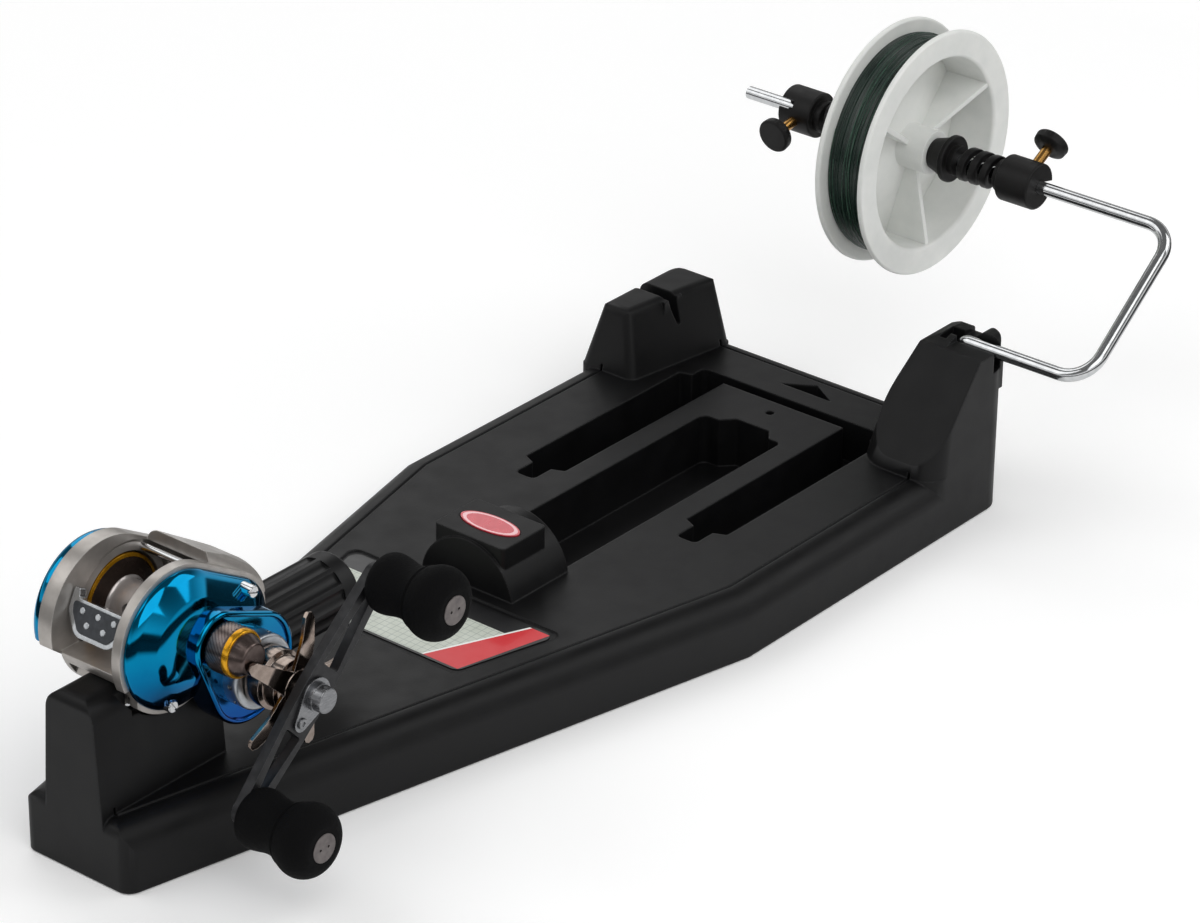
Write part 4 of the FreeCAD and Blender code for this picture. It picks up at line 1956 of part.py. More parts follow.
def line_spool():
    """Plastic supply spool: drum with two flanges, coned web, three fins and hub."""
    x, z = BAIL_TOP_X, BAIL_TOP_Z
    half = SUPPLY_WIDTH / 2
    near, far = SUPPLY_Y - half, SUPPLY_Y + half
    drum = SUPPLY_CORE_RADIUS + SUPPLY_CORE_WALL
    body = turned_y(
        x,
        z,
        [
            (SUPPLY_CORE_RADIUS, near, SUPPLY_MOUTH_EDGE),
            (SUPPLY_RADIUS, near, SUPPLY_RIM_EDGE),
            (SUPPLY_RADIUS, near + SUPPLY_FLANGE, SUPPLY_RIM_EDGE),
            (drum, near + SUPPLY_FLANGE),
            (drum, far - SUPPLY_FLANGE),
            (SUPPLY_RADIUS, far - SUPPLY_FLANGE, SUPPLY_RIM_EDGE),
            (SUPPLY_RADIUS, far, SUPPLY_RIM_EDGE),
            (SUPPLY_CORE_RADIUS, far),
        ],
    )
    hub = rod_y(x, z, SUPPLY_HUB_RADIUS, near + SUPPLY_HUB_RECESS, far - SUPPLY_HUB_RECESS)
    fins = [supply_fin(SUPPLY_FIN_ANGLE + 360.0 * index / SUPPLY_FINS) for index in range(SUPPLY_FINS)]
    seats = [cone_seat(side) for side in (-1, 1)]
    bore = rod_y(x, z, cone_radius(0) + SEAT_GAP, near, far)
    return without(joined([body, supply_web(), hub] + fins), [bore] + seats)


def line_winding():
    """Line wound on the supply spool, as one closed ring."""
    half = SUPPLY_WIDTH / 2 - SUPPLY_FLANGE
    ring = rod_y(BAIL_TOP_X, BAIL_TOP_Z, WINDING_RADIUS, SUPPLY_Y - half, SUPPLY_Y + half)
    drum = SUPPLY_CORE_RADIUS + SUPPLY_CORE_WALL
    inner = rod_y(BAIL_TOP_X, BAIL_TOP_Z, drum, SUPPLY_Y - half - 1, SUPPLY_Y + half + 1)
    return ring.cut(inner)


def cone_face(side):
    return SUPPLY_Y + side * CONE_FACE


def cone_back(side):
    return cone_face(side) + side * CONE_FLANGE


def cone_radius(depth):
    """Radius of the cone's taper at a depth from its tip towards its flange."""
    return CONE_TIP_RADIUS + (CONE_BASE_RADIUS - CONE_TIP_RADIUS) * depth / CONE_LENGTH


def cone_seat(side):
    """Tapered seat in the supply spool's hub that the cone centres in."""
    face = cone_face(side)
    tip = face - side * CONE_LENGTH
    base = CONE_BASE_RADIUS + SEAT_GAP
    corners = [(0, tip), (CONE_TIP_RADIUS + SEAT_GAP, tip), (base, face), (0, face)]
    return turned_y(BAIL_TOP_X, BAIL_TOP_Z, corners)


def cone(side):
    """Cone that centres the supply spool on the wire; side is -1 near the bail's riser."""
    face = cone_face(side)
    tip = face - side * CONE_LENGTH
    back = cone_back(side)
    neck = back + side * CONE_NECK
    bore = WIRE_RADIUS + RUNNING_GAP
    corners = [
        (bore, tip),
        (CONE_TIP_RADIUS, tip),
        (CONE_BASE_RADIUS, face),
        (CONE_FLANGE_RADIUS, face, 0.5),
        (CONE_FLANGE_RADIUS, back, 0.8),
        (CONE_NECK_RADIUS, back),
        (CONE_NECK_RADIUS, neck),
        (bore, neck),
    ]
    return turned_y(BAIL_TOP_X, BAIL_TOP_Z, corners)


def spring_start(side):
    return cone_back(side) + side * (CONE_NECK + SPRING_END_GAP)


def spring(side):
    """Coil spring of thick flat strip between cone and collar."""
    start = spring_start(side)
    room = abs(collar_inner(side) - start) - SPRING_END_GAP
    rise = room - SPRING_STRIP_WIDTH
    helix = Part.makeHelix(rise / SPRING_TURNS, rise, SPRING_RADIUS)
    half_width = SPRING_STRIP_WIDTH / 2
    inner = SPRING_RADIUS - SPRING_STRIP_HEIGHT / 2 + 0.2
    outer = SPRING_RADIUS + SPRING_STRIP_HEIGHT / 2
    profile = outline(
        [(inner, -half_width), (outer, -half_width), (outer, half_width), (inner, half_width)], on_xz
    )
    coil = Part.Wire(helix).makePipeShell([profile], True, True)
    coil.rotate(Vector(0, 0, 0), Vector(1, 0, 0), -90 * side)
    coil.translate(Vector(BAIL_TOP_X, start + side * half_width, BAIL_TOP_Z))
    return coil


def collar_inner(side):
    return cone_back(side) + side * SPRING_LENGTH


def collar(side):
    """Collar that slides on the wire and is held by a thumbscrew."""
    inner = collar_inner(side)
    step = inner + side * COLLAR_NECK
    outer = step + side * COLLAR_LENGTH
    bore = WIRE_RADIUS + RUNNING_GAP
    body = turned_y(
        BAIL_TOP_X,
        BAIL_TOP_Z,
        [
            (bore, inner),
            (COLLAR_NECK_RADIUS, inner, 0.8),
            (COLLAR_NECK_RADIUS, step),
            (COLLAR_RADIUS, step, 0.8),
            (COLLAR_RADIUS, outer, 1.0),
            (bore, outer),
        ],
    )
    hole = screw_cylinder(side, SCREW_RADIUS + RUNNING_GAP, 0, COLLAR_RADIUS + 2)
    ends = sorted((outer - side * COLLAR_NOTCH_LENGTH, outer + side))
    half = COLLAR_NOTCH_WIDTH / 2
    notch = block(
        BAIL_TOP_X, BAIL_TOP_X + 2 * COLLAR_RADIUS, ends[0], ends[1], BAIL_TOP_Z - half, BAIL_TOP_Z + half
    )
    notch = turned(notch, BAIL_TOP_X, BAIL_TOP_Z, screw_angle(side) + COLLAR_NOTCH_ANGLE)
    return without(body, [hole, notch])


def screw_angle(side):
    return NEAR_SCREW_ANGLE if side < 0 else FAR_SCREW_ANGLE


def screw_place(side):
    return collar_inner(side) + side * (COLLAR_NECK + COLLAR_LENGTH / 2)


def screw_cylinder(side, radius, low, high):
    """Cylinder along a thumbscrew's axis, from low to high off the wire's axis."""
    tool = Part.makeCylinder(
        radius, high - low, Vector(BAIL_TOP_X + low, screw_place(side), BAIL_TOP_Z), Vector(1, 0, 0)
    )
    return turned(tool, BAIL_TOP_X, BAIL_TOP_Z, screw_angle(side))


def screw_shank(side):
    return screw_cylinder(side, SCREW_RADIUS, WIRE_RADIUS + SEAT_GAP, SCREW_HEAD_REACH)


def screw_head(side):
    """Ribbed round head moulded on the shank."""
    x, z = BAIL_TOP_X, BAIL_TOP_Z
    place = screw_place(side)
    low = SCREW_HEAD_REACH
    high = low + SCREW_HEAD_HEIGHT
    wire = outline(
        [
            (low, 0),
            (low, SCREW_HEAD_NECK),
            (low + SCREW_HEAD_CONE, SCREW_HEAD_RADIUS - 0.4, 0.6),
            (high, SCREW_HEAD_RADIUS, 1.2),
            (high, 0),
        ],
        lambda u, v: Vector(x + u, place + v, z),
    )
    head = Part.Face(wire).revolve(Vector(x, place, z), Vector(1, 0, 0), 360)
    notches = []
    for index in range(SCREW_HEAD_NOTCHES):
        angle = 2 * math.pi * index / SCREW_HEAD_NOTCHES
        reach = SCREW_HEAD_RADIUS + 0.5
        notches.append(
            Part.makeCylinder(
                SCREW_NOTCH_RADIUS,
                SCREW_HEAD_HEIGHT + 2,
                Vector(
                    x + low + SCREW_NOTCH_START, place + reach * math.cos(angle), z + reach * math.sin(angle)
                ),
                Vector(1, 0, 0),
            )
        )
    return turned(without(head, notches), x, z, screw_angle(side))


# ---------------------------------------------------------------- writing the parts
NODES = {
    "base_housing": base_housing,
    "label_sticker": label_sticker,
    "oval_badge": oval_badge,
    "seat_stud": seat_stud,
    "seat_hood": seat_hood,
    "clamp_barrel": clamp_barrel,
    "reel_frame": reel_frame,
    "reel_foot": reel_foot,
    "foot_rivets": foot_rivets,
    "handle_side_cover": handle_side_cover,
    "cover_screws": cover_screws,
    "palm_side_cover": palm_side_cover,
    "guide_rail": guide_rail,
    "reel_spool": reel_spool,
    "spool_shaft": spool_shaft,
    "spool_bearings": spool_bearings,
    "main_gear": main_gear,
    "pinion_gear": pinion_gear,
    "drag_washers": drag_washers,
    "worm_drive_gear": worm_drive_gear,
    "worm_gear": worm_gear,
    "worm_shaft": worm_shaft,
    "line_guide": line_guide,
    "drive_shaft": drive_shaft,
    "drag_ring": drag_ring,
    "cast_control_cap": cast_control_cap,
    "cap_ring": cap_ring,
    "star_drag": star_drag,
    "handle_arm": handle_arm,
    "knob_spindles": knob_spindles,
    "handle_plate": handle_plate,
    "plate_screw": plate_screw,
    "handle_nut": handle_nut,
    "front_knob": lambda: handle_knob(0),
    "rear_knob": lambda: handle_knob(180),
    "front_knob_cap": lambda: knob_cap(0),
    "rear_knob_cap": lambda: knob_cap(180),
    "thumb_bar": thumb_bar,
    "thumb_pad": thumb_pad,
    "line_bail": line_bail,
    "line_spool": line_spool,
    "line_winding": line_winding,
    "near_cone": lambda: cone(-1),
    "far_cone": lambda: cone(1),
    "near_spring": lambda: spring(-1),
    "far_spring": lambda: spring(1),
    "near_collar": lambda: collar(-1),
    "far_collar": lambda: collar(1),
    "near_screw": lambda: screw_shank(-1),
    "far_screw": lambda: screw_shank(1),
    "near_screw_head": lambda: screw_head(-1),
    "far_screw_head": lambda: screw_head(1),
}


def main():
    os.makedirs("parts", exist_ok=True)
    for name, build in NODES.items():
        shape = build()
        shape.exportStep("parts/" + name + ".step")
        box = shape.BoundBox
        print(
            f"{name}: solids {len(shape.Solids)} volume {shape.Volume:.0f} valid {shape.isValid()}", end=" "
        )
        print(
            f"x {box.XMin:.1f} {box.XMax:.1f} y {box.YMin:.1f} {box.YMax:.1f} z {box.ZMin:.1f} {box.ZMax:.1f}"
        )


main()
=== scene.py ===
import json
import math

import bmesh
import bpy
from mathutils import Matrix, Vector

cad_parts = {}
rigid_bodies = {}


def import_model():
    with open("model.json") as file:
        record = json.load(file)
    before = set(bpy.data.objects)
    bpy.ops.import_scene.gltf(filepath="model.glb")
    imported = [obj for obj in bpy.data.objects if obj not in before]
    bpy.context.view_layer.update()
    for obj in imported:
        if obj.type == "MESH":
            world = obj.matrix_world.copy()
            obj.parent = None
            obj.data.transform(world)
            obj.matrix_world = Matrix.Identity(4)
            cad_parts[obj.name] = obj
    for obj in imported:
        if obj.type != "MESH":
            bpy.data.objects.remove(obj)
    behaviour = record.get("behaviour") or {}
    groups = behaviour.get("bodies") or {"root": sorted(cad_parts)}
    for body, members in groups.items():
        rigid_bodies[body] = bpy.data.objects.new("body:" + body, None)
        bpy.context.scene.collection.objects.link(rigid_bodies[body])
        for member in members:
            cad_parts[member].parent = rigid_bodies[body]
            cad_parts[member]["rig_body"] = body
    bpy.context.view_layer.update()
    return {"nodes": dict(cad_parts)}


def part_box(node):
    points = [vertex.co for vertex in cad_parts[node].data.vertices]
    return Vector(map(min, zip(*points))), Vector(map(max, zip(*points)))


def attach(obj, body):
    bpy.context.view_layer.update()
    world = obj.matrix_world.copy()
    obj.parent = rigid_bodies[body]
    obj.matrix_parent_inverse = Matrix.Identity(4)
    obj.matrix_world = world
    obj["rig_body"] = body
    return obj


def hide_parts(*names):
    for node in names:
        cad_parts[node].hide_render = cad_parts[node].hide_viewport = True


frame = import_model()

mm = 0.001


# camera, floor and lamps, in metres and degrees where nothing else is said
camera = {
    "target": (0.1402, 0.0573, 0.0),
    "distance": 1.97692,
    "heading": 39.111,  # degrees from +X towards +Y
    "down": 27.715,
    "roll": 0.637,
    "lens": 143.166,
    "sensor": 36.0,
    "clip": (0.05, 30.0),
}
studio = {
    "floorSize": 9.0,
    "floorDrop": 0.6,  # millimetres under the base
    "floorRough": 0.9,
    "floorColour": "#fdfdfd",
    "floorGlow": "#ffffff",
    "floorLift": (0.11, 0.75),  # added for the camera alone, near and far, so that the floor is white
    "floorReach": (0.7, 2.4),  # from the middle
    "skyColour": "#fbfbfb",
    "skyStrength": 0.46,  # for matt surfaces
    # what reflections alone see: a table's end and a dark wall, then white that falls off upwards
    "tableEdge": (0.42, 0.56),  # from the middle
    "roomColour": "#1c1c20",  # of the floor past the table
    "wallRise": (0.07, 0.12),  # sine of the angle where the dark wall ends
    "wallDark": 0.05,
    "skyRise": (0.12, 0.52),  # sine of the angle where the white starts to fall and where it stops
    "skyLow": 1.0,
    "skyHigh": 0.17,
    "lamps": [
        # place, aim, size, watts
        ((-0.65, -1.35, 1.55), (0.0, 0.0, 0.05), 1.7, 15.0),
        ((1.05, -0.95, 1.25), (0.1, 0.0, 0.08), 1.1, 6.5),
        ((-1.0, 1.0, 1.45), (-0.05, 0.0, 0.05), 1.3, 7.0),
        ((0.85, 1.25, 1.35), (0.15, 0.0, 0.08), 1.2, 6.0),
    ],
}


def linear(code):
    parts = [int(code[i : i + 2], 16) / 255 for i in (1, 3, 5)]
    values = [p / 12.92 if p <= 0.04045 else ((p + 0.055) / 1.055) ** 2.4 for p in parts]
    return (*values, 1.0)


def addNode(tree, kind, settings, links=None):
    node = tree.nodes.new("ShaderNode" + kind)
    for name, value in settings.items():
        if isinstance(name, str) and hasattr(node, name):
            setattr(node, name, value)
        else:
            node.inputs[name].default_value = value
    for name, socket in (links or {}).items():
        tree.links.new(socket, node.inputs[name])
    return node


def makeCamera():
    heading, down = math.radians(camera["heading"]), math.radians(camera["down"])
    ahead = Vector(
        (math.cos(down) * math.cos(heading), math.cos(down) * math.sin(heading), -math.sin(down))
    )
    data = bpy.data.cameras.new("camera")
    data.lens = camera["lens"]
    data.sensor_width = camera["sensor"]
    data.clip_start, data.clip_end = camera["clip"]
    eye = bpy.data.objects.new("camera", data)
    place = Vector(camera["target"]) - ahead * camera["distance"]
    turn = ahead.to_track_quat("-Z", "Y").to_matrix().to_4x4()
    eye.matrix_world = Matrix.Translation(place) @ turn @ Matrix.Rotation(
        math.radians(camera["roll"]), 4, "Z"
    )
    bpy.context.scene.collection.objects.link(eye)
    bpy.context.scene.camera = eye


def makeFloor():
    mesh = bpy.data.meshes.new("floor")
    bm = bmesh.new()
    bmesh.ops.create_grid(bm, x_segments=1, y_segments=1, size=studio["floorSize"])
    bmesh.ops.translate(bm, vec=(0, 0, -studio["floorDrop"] * mm), verts=bm.verts)
    bm.to_mesh(mesh)
    bm.free()
    floor = bpy.data.objects.new("floor", mesh)
    bpy.context.scene.collection.objects.link(floor)
    material = bpy.data.materials.new("paleFloor")
    material.use_nodes = True
    tree = material.node_tree
    shader = tree.nodes["Principled BSDF"]
    shader.inputs["Roughness"].default_value = studio["floorRough"]
    shader.inputs["Emission Color"].default_value = linear(studio["floorGlow"])
    seen = addNode(tree, "LightPath", {})
    spot = addNode(tree, "TexCoord", {})
    away = addNode(tree, "VectorMath", {"operation": "LENGTH"}, {0: spot.outputs["Object"]})
    (near, far), (liftNear, liftFar) = studio["floorReach"], studio["floorLift"]
    rise = addNode(
        tree, "MapRange", {1: near, 2: far, 3: liftNear, 4: liftFar}, {0: away.outputs["Value"]}
    )
    lift = addNode(
        tree, "Math", {"operation": "MULTIPLY"}, {0: seen.outputs["Is Camera Ray"], 1: rise.outputs[0]}
    )
    tree.links.new(lift.outputs[0], shader.inputs["Emission Strength"])
    # reflections see the table end a little way out, with a dark room beyond
    begin, end = studio["tableEdge"]
    beyond = addNode(tree, "MapRange", {1: begin, 2: end}, {0: away.outputs["Value"]})
    dark = addNode(
        tree,
        "Math",
        {"operation": "MULTIPLY"},
        {0: seen.outputs["Is Glossy Ray"], 1: beyond.outputs[0]},
    )
    floorColour, roomColour = linear(studio["floorColour"]), linear(studio["roomColour"])
    shade = addNode(
        tree, "Mix", {"data_type": "RGBA", 6: floorColour, 7: roomColour}, {0: dark.outputs[0]}
    )
    tree.links.new(shade.outputs[2], shader.inputs["Base Color"])
    mesh.materials.append(material)


# plain white for the camera and through clear parts, and dimmer for matt surfaces
def makeSky():
    world = bpy.data.worlds.new("softRoom")
    bpy.context.scene.world = world
    world.use_nodes = True
    tree = world.node_tree
    tree.nodes.clear()
    path = addNode(tree, "LightPath", {})
    direction = addNode(tree, "TexCoord", {})
    upright = addNode(tree, "SeparateXYZ", {}, {0: direction.outputs["Generated"]})
    low, high = studio["skyRise"]
    span = {
        "interpolation_type": "SMOOTHSTEP", 1: low, 2: high, 3: studio["skyLow"], 4: studio["skyHigh"]
    }
    fall = addNode(tree, "MapRange", span, {0: upright.outputs[2]})
    wallLow, wallHigh = studio["wallRise"]
    wall = addNode(
        tree, "MapRange", {1: wallLow, 2: wallHigh, 3: studio["wallDark"]}, {0: upright.outputs[2]}
    )
    around = addNode(tree, "Math", {"operation": "MULTIPLY"}, {0: fall.outputs[0], 1: wall.outputs[0]})
    glossy, straight, through = (
        path.outputs[f"Is {kind} Ray"] for kind in ("Glossy", "Camera", "Transmission")
    )
    soft = addNode(
        tree, "Mix", {"data_type": "FLOAT", 2: studio["skyStrength"]}, {0: glossy, 3: around.outputs[0]}
    )
    seen = addNode(tree, "Math", {"operation": "MAXIMUM"}, {0: straight, 1: through})
    strength = addNode(
        tree, "Mix", {"data_type": "FLOAT", 3: 1.0}, {0: seen.outputs[0], 2: soft.outputs[0]}
    )
    sky = addNode(
        tree, "Background", {"Color": linear(studio["skyColour"])}, {"Strength": strength.outputs[0]}
    )
    addNode(tree, "OutputWorld", {}, {"Surface": sky.outputs[0]})


def makeLamps():
    for index, (place, aim, size, watts) in enumerate(studio["lamps"]):
        lamp = bpy.data.lights.new(f"lamp{index}", "AREA")
        lamp.shape = "SQUARE"
        lamp.size = size
        lamp.energy = watts
        holder = bpy.data.objects.new(f"lamp{index}", lamp)
        holder.location = place
        holder.rotation_euler = (Vector(aim) - Vector(place)).to_track_quat("-Z", "Y").to_euler()
        bpy.context.scene.collection.objects.link(holder)


# finishes: patch, grain, depth and edge are millimetres, rough runs from smoothest to roughest
finishes = {
    # moulded ABS from a spark-eroded mould: near-black, with a soft grey sheen on the shoulders, partly
    # a painted highlight along the edges
    "mouldedAbs": {
        "colour": "#0b0b0c", "tint": "#101011", "patch": 11.0, "rough": (0.38, 0.48), "grain": 0.8,
        "depth": 0.024,
        "ior": 1.53, "specular": 0.2, "edge": 1.1, "worn": "#242425",
    },
    # injected glass-filled nylon: a little glossier black
    "clampNylon": {
        "colour": "#0c0c0d", "tint": "#121213", "patch": 7.0, "rough": (0.32, 0.44), "grain": 0.8,
        "depth": 0.012,
        "ior": 1.53, "specular": 0.22, "edge": 0.5, "worn": "#202021",
    },
    # blasted and lacquered cast aluminium: warm satin silver
    "castAluminium": {
        "colour": "#b8b3ae", "tint": "#a7a29d", "patch": 6.0, "rough": (0.3, 0.4), "grain": 0.7,
        "depth": 0.006,
        "metallic": 0.72, "edge": 0.5, "worn": "#cbc8c4",
    },
    # turned aluminium with a pale satin face
    "satinAluminium": {
        "colour": "#c6c9cd", "tint": "#b4b8bd", "patch": 3.0, "rough": (0.3, 0.4), "grain": 0.5,
        "depth": 0.004,
        "metallic": 1.0, "edge": 0.25, "worn": "#d6d8db",
    },
    # polished and anodised aluminium: azure, clear dark reflections
    "blueAnodised": {
        "colour": "#0a86b2", "tint": "#0879a6", "patch": 14.0, "rough": (0.06, 0.11), "grain": 1.2,
        "depth": 0.001,
        # painted shade: deeper blue towards the lower end of the cover
        "metallic": 1.0, "paintedShade": (50.0, 86.0, "#114f99"),
    },
    # chromed steel: bright, almost mirror
    "chromedSteel": {
        "colour": "#d6d7d9", "tint": "#c6c8ca", "patch": 4.0, "rough": (0.07, 0.14), "grain": 0.8,
        "depth": 0.002,
        "metallic": 1.0, "edge": 0.2, "worn": "#e2e3e4",
    },
    # brushed steel of plate and nut: satin grey
    "satinSteel": {
        "colour": "#8f9092", "tint": "#7c7d80", "patch": 2.5, "rough": (0.24, 0.36), "grain": 0.4,
        "depth": 0.006,
        "metallic": 1.0, "edge": 0.25, "worn": "#b2b3b5", "stretch": (1, 1, 5),
    },
    # polished aluminium drum
    "polishedAluminium": {
        "colour": "#dad3d0", "tint": "#c6bfbc", "patch": 4.0, "rough": (0.2, 0.28), "grain": 0.6,
        "depth": 0.003,
        "metallic": 0.6,
    },
    # bronze anodised flanges of the drum
    "bronzeAnodised": {
        "colour": "#4a3d37", "tint": "#3a302b", "patch": 5.0, "rough": (0.24, 0.34), "grain": 0.5,
        "depth": 0.004,
        "metallic": 0.7,
    },
    # ground steel shafts, rings round the axis
    "groundSteel": {
        "colour": "#a5a6a8", "tint": "#8f9194", "patch": 2.0, "rough": (0.2, 0.34), "grain": 0.5,
        "depth": 0.004,
        "metallic": 1.0, "stretch": (1, 6, 1),
    },
    # cut brass gears
    "cutBrass": {
        "colour": "#c79d4c", "tint": "#ad853c", "patch": 2.5, "rough": (0.22, 0.34), "grain": 0.4,
        "depth": 0.004, "metallic": 1.0,
    },
    # moulded acetal gears: milky and slightly waxy
    "mouldedAcetal": {
        "colour": "#dedcd2", "tint": "#d0cdc0", "patch": 3.0, "rough": (0.35, 0.45), "grain": 0.5,
        "depth": 0.004, "ior": 1.48,
    },
    # pressed fibre washers
    "pressedFibre": {
        "colour": "#5a4a3a", "tint": "#40342a", "patch": 1.2, "rough": (0.7, 0.85), "grain": 0.4,
        "depth": 0.03,
    },
    # satin nickel on the line guide
    "satinNickel": {
        "colour": "#a9a7a5", "tint": "#959391", "patch": 2.5, "rough": (0.26, 0.36), "grain": 0.5,
        "depth": 0.004, "metallic": 1.0,
    },
    # gunmetal anodising on the knurled cap: brown-grey
    "gunmetal": {
        "colour": "#6b5f5b", "tint": "#574c49", "patch": 2.5, "rough": (0.26, 0.36), "grain": 0.4,
        "depth": 0.004,
        "metallic": 1.0, "edge": 0.2, "worn": "#8a7d78",
    },
    # gold anodised rings
    "goldAnodised": {
        "colour": "#e3a622", "tint": "#cf9016", "patch": 2.5, "rough": (0.18, 0.28), "grain": 0.5,
        "depth": 0.003,
        "metallic": 0.8, "edge": 0.15, "worn": "#f0bd4a",
    },
    # dark nickel plate on the star wheel: warm grey, with a painted highlight along its edges
    "darkNickel": {
        "colour": "#a3958c", "tint": "#8a7c73", "patch": 3.0, "rough": (0.12, 0.2), "grain": 0.6,
        "depth": 0.003,
        "metallic": 1.0, "edge": 0.3, "worn": "#c9bdb5",
    },
    # black anodised plate of the handle: graphite, its machined edges painted pale as a highlight
    "blackAnodised": {
        "colour": "#262628", "tint": "#1c1c1e", "patch": 4.0, "rough": (0.34, 0.46), "grain": 0.4,
        "depth": 0.01,
        "metallic": 0.5, "edge": 0.35, "worn": "#4c4d4f",
    },
    # closed-cell EVA foam: dull black with fine cells, drawn 1 mm so that they show
    "evaFoam": {
        "colour": "#050506", "tint": "#0a0a0b", "patch": 1.8, "rough": (0.7, 0.85), "grain": 1.0,
        "depth": 0.12,
        "ior": 1.45, "specular": 0.12,
    },
    # dark grey metal caps
    "greyCap": {
        "colour": "#77716f", "tint": "#656060", "patch": 2.5, "rough": (0.3, 0.42), "grain": 0.5,
        "depth": 0.005,
        "metallic": 0.9, "edge": 0.2, "worn": "#94908e",
    },
    # metallised ABS of the thumb bar
    "metallisedAbs": {
        "colour": "#c9cccf", "tint": "#b6babe", "patch": 3.0, "rough": (0.16, 0.24), "grain": 0.6,
        "depth": 0.003,
        "metallic": 1.0, "edge": 0.5, "worn": "#dfe1e3",
    },
    # soft pad of the thumb bar
    "softPad": {
        "colour": "#3c3f44", "tint": "#303337", "patch": 2.0, "rough": (0.5, 0.62), "grain": 0.6,
        "depth": 0.014,
    },
    # drawn bright wire: fine streaks along it
    "brightWire": {
        "colour": "#d7d8d9", "tint": "#c2c4c6", "patch": 3.0, "rough": (0.08, 0.16), "grain": 0.8,
        "depth": 0.003, "metallic": 1.0,
    },
    # milky polypropylene: light enters it a little way
    "milkyPolypropylene": {
        "colour": "#e4e5e2", "tint": "#dcdedb", "patch": 9.0, "rough": (0.36, 0.46), "grain": 1.2,
        "depth": 0.008,
        "ior": 1.49, "edge": 0.5, "worn": "#e4e6e3", "soft": 2.4,
    },
    # monofilament: dark green strands, slightly glossy
    "monofilament": {
        "colour": "#0c1a16", "tint": "#1f352c", "patch": 1.6, "rough": (0.22, 0.36), "grain": 0.6,
        "depth": 0.02,
        "ior": 1.53, "stretch": (0.1, 3, 0.1),
    },
    # painted highlight: strands that lie on top are drawn paler, as if they caught the light
    "paintedLitMonofilament": {
        "colour": "#3d5a4c", "tint": "#2b4538", "patch": 2.4, "rough": (0.2, 0.3), "grain": 0.6,
        "depth": 0.01, "ior": 1.53,
    },
    # satin black nylon of cones, collars and screw heads
    "hubNylon": {
        "colour": "#0c0b0b", "tint": "#131212", "patch": 4.0, "rough": (0.42, 0.54), "grain": 0.6,
        "depth": 0.02,
        "ior": 1.53, "specular": 0.24, "edge": 0.4, "worn": "#242222",
    },
    # blacked spring strip
    "blackedSteel": {
        "colour": "#131213", "tint": "#0d0c0d", "patch": 2.0, "rough": (0.34, 0.46), "grain": 0.5,
        "depth": 0.006,
        "metallic": 0.2, "specular": 0.3, "edge": 0.3, "worn": "#262526",
    },
    # turned brass shanks
    "turnedBrass": {
        "colour": "#c99a58", "tint": "#b28444", "patch": 1.5, "rough": (0.18, 0.3), "grain": 0.4,
        "depth": 0.004, "metallic": 1.0,
    },
    # printed vinyl: pale ground, coated
    "printedVinyl": {
        "colour": "#c9cfc4", "tint": "#c0c6ba", "patch": 5.0, "rough": (0.36, 0.46), "grain": 0.7,
        "depth": 0.003, "coat": 0.2,
    },
    # lacquered badge: clear gloss over red
    "redLacquer": {
        "colour": "#cf2b3e", "tint": "#c22336", "patch": 4.0, "rough": (0.25, 0.32), "grain": 0.6,
        "depth": 0.002, "coat": 0.6,
    },
}
skin = {
    "noiseSpan": (0.3, 0.7),  # where most of a noise's values lie
    "patchDetail": 4.0,
    "grainDetail": 2.0,
    "coatRough": 0.08,
    "softWeight": 0.35,
    "softRadius": (1.0, 1.0, 0.95),
    "bevelSamples": 4,
    "rubbed": (0.995, 0.86, 0.8),  # cosine where the painted edge highlight starts, where it is full, and its share
}
made = {}


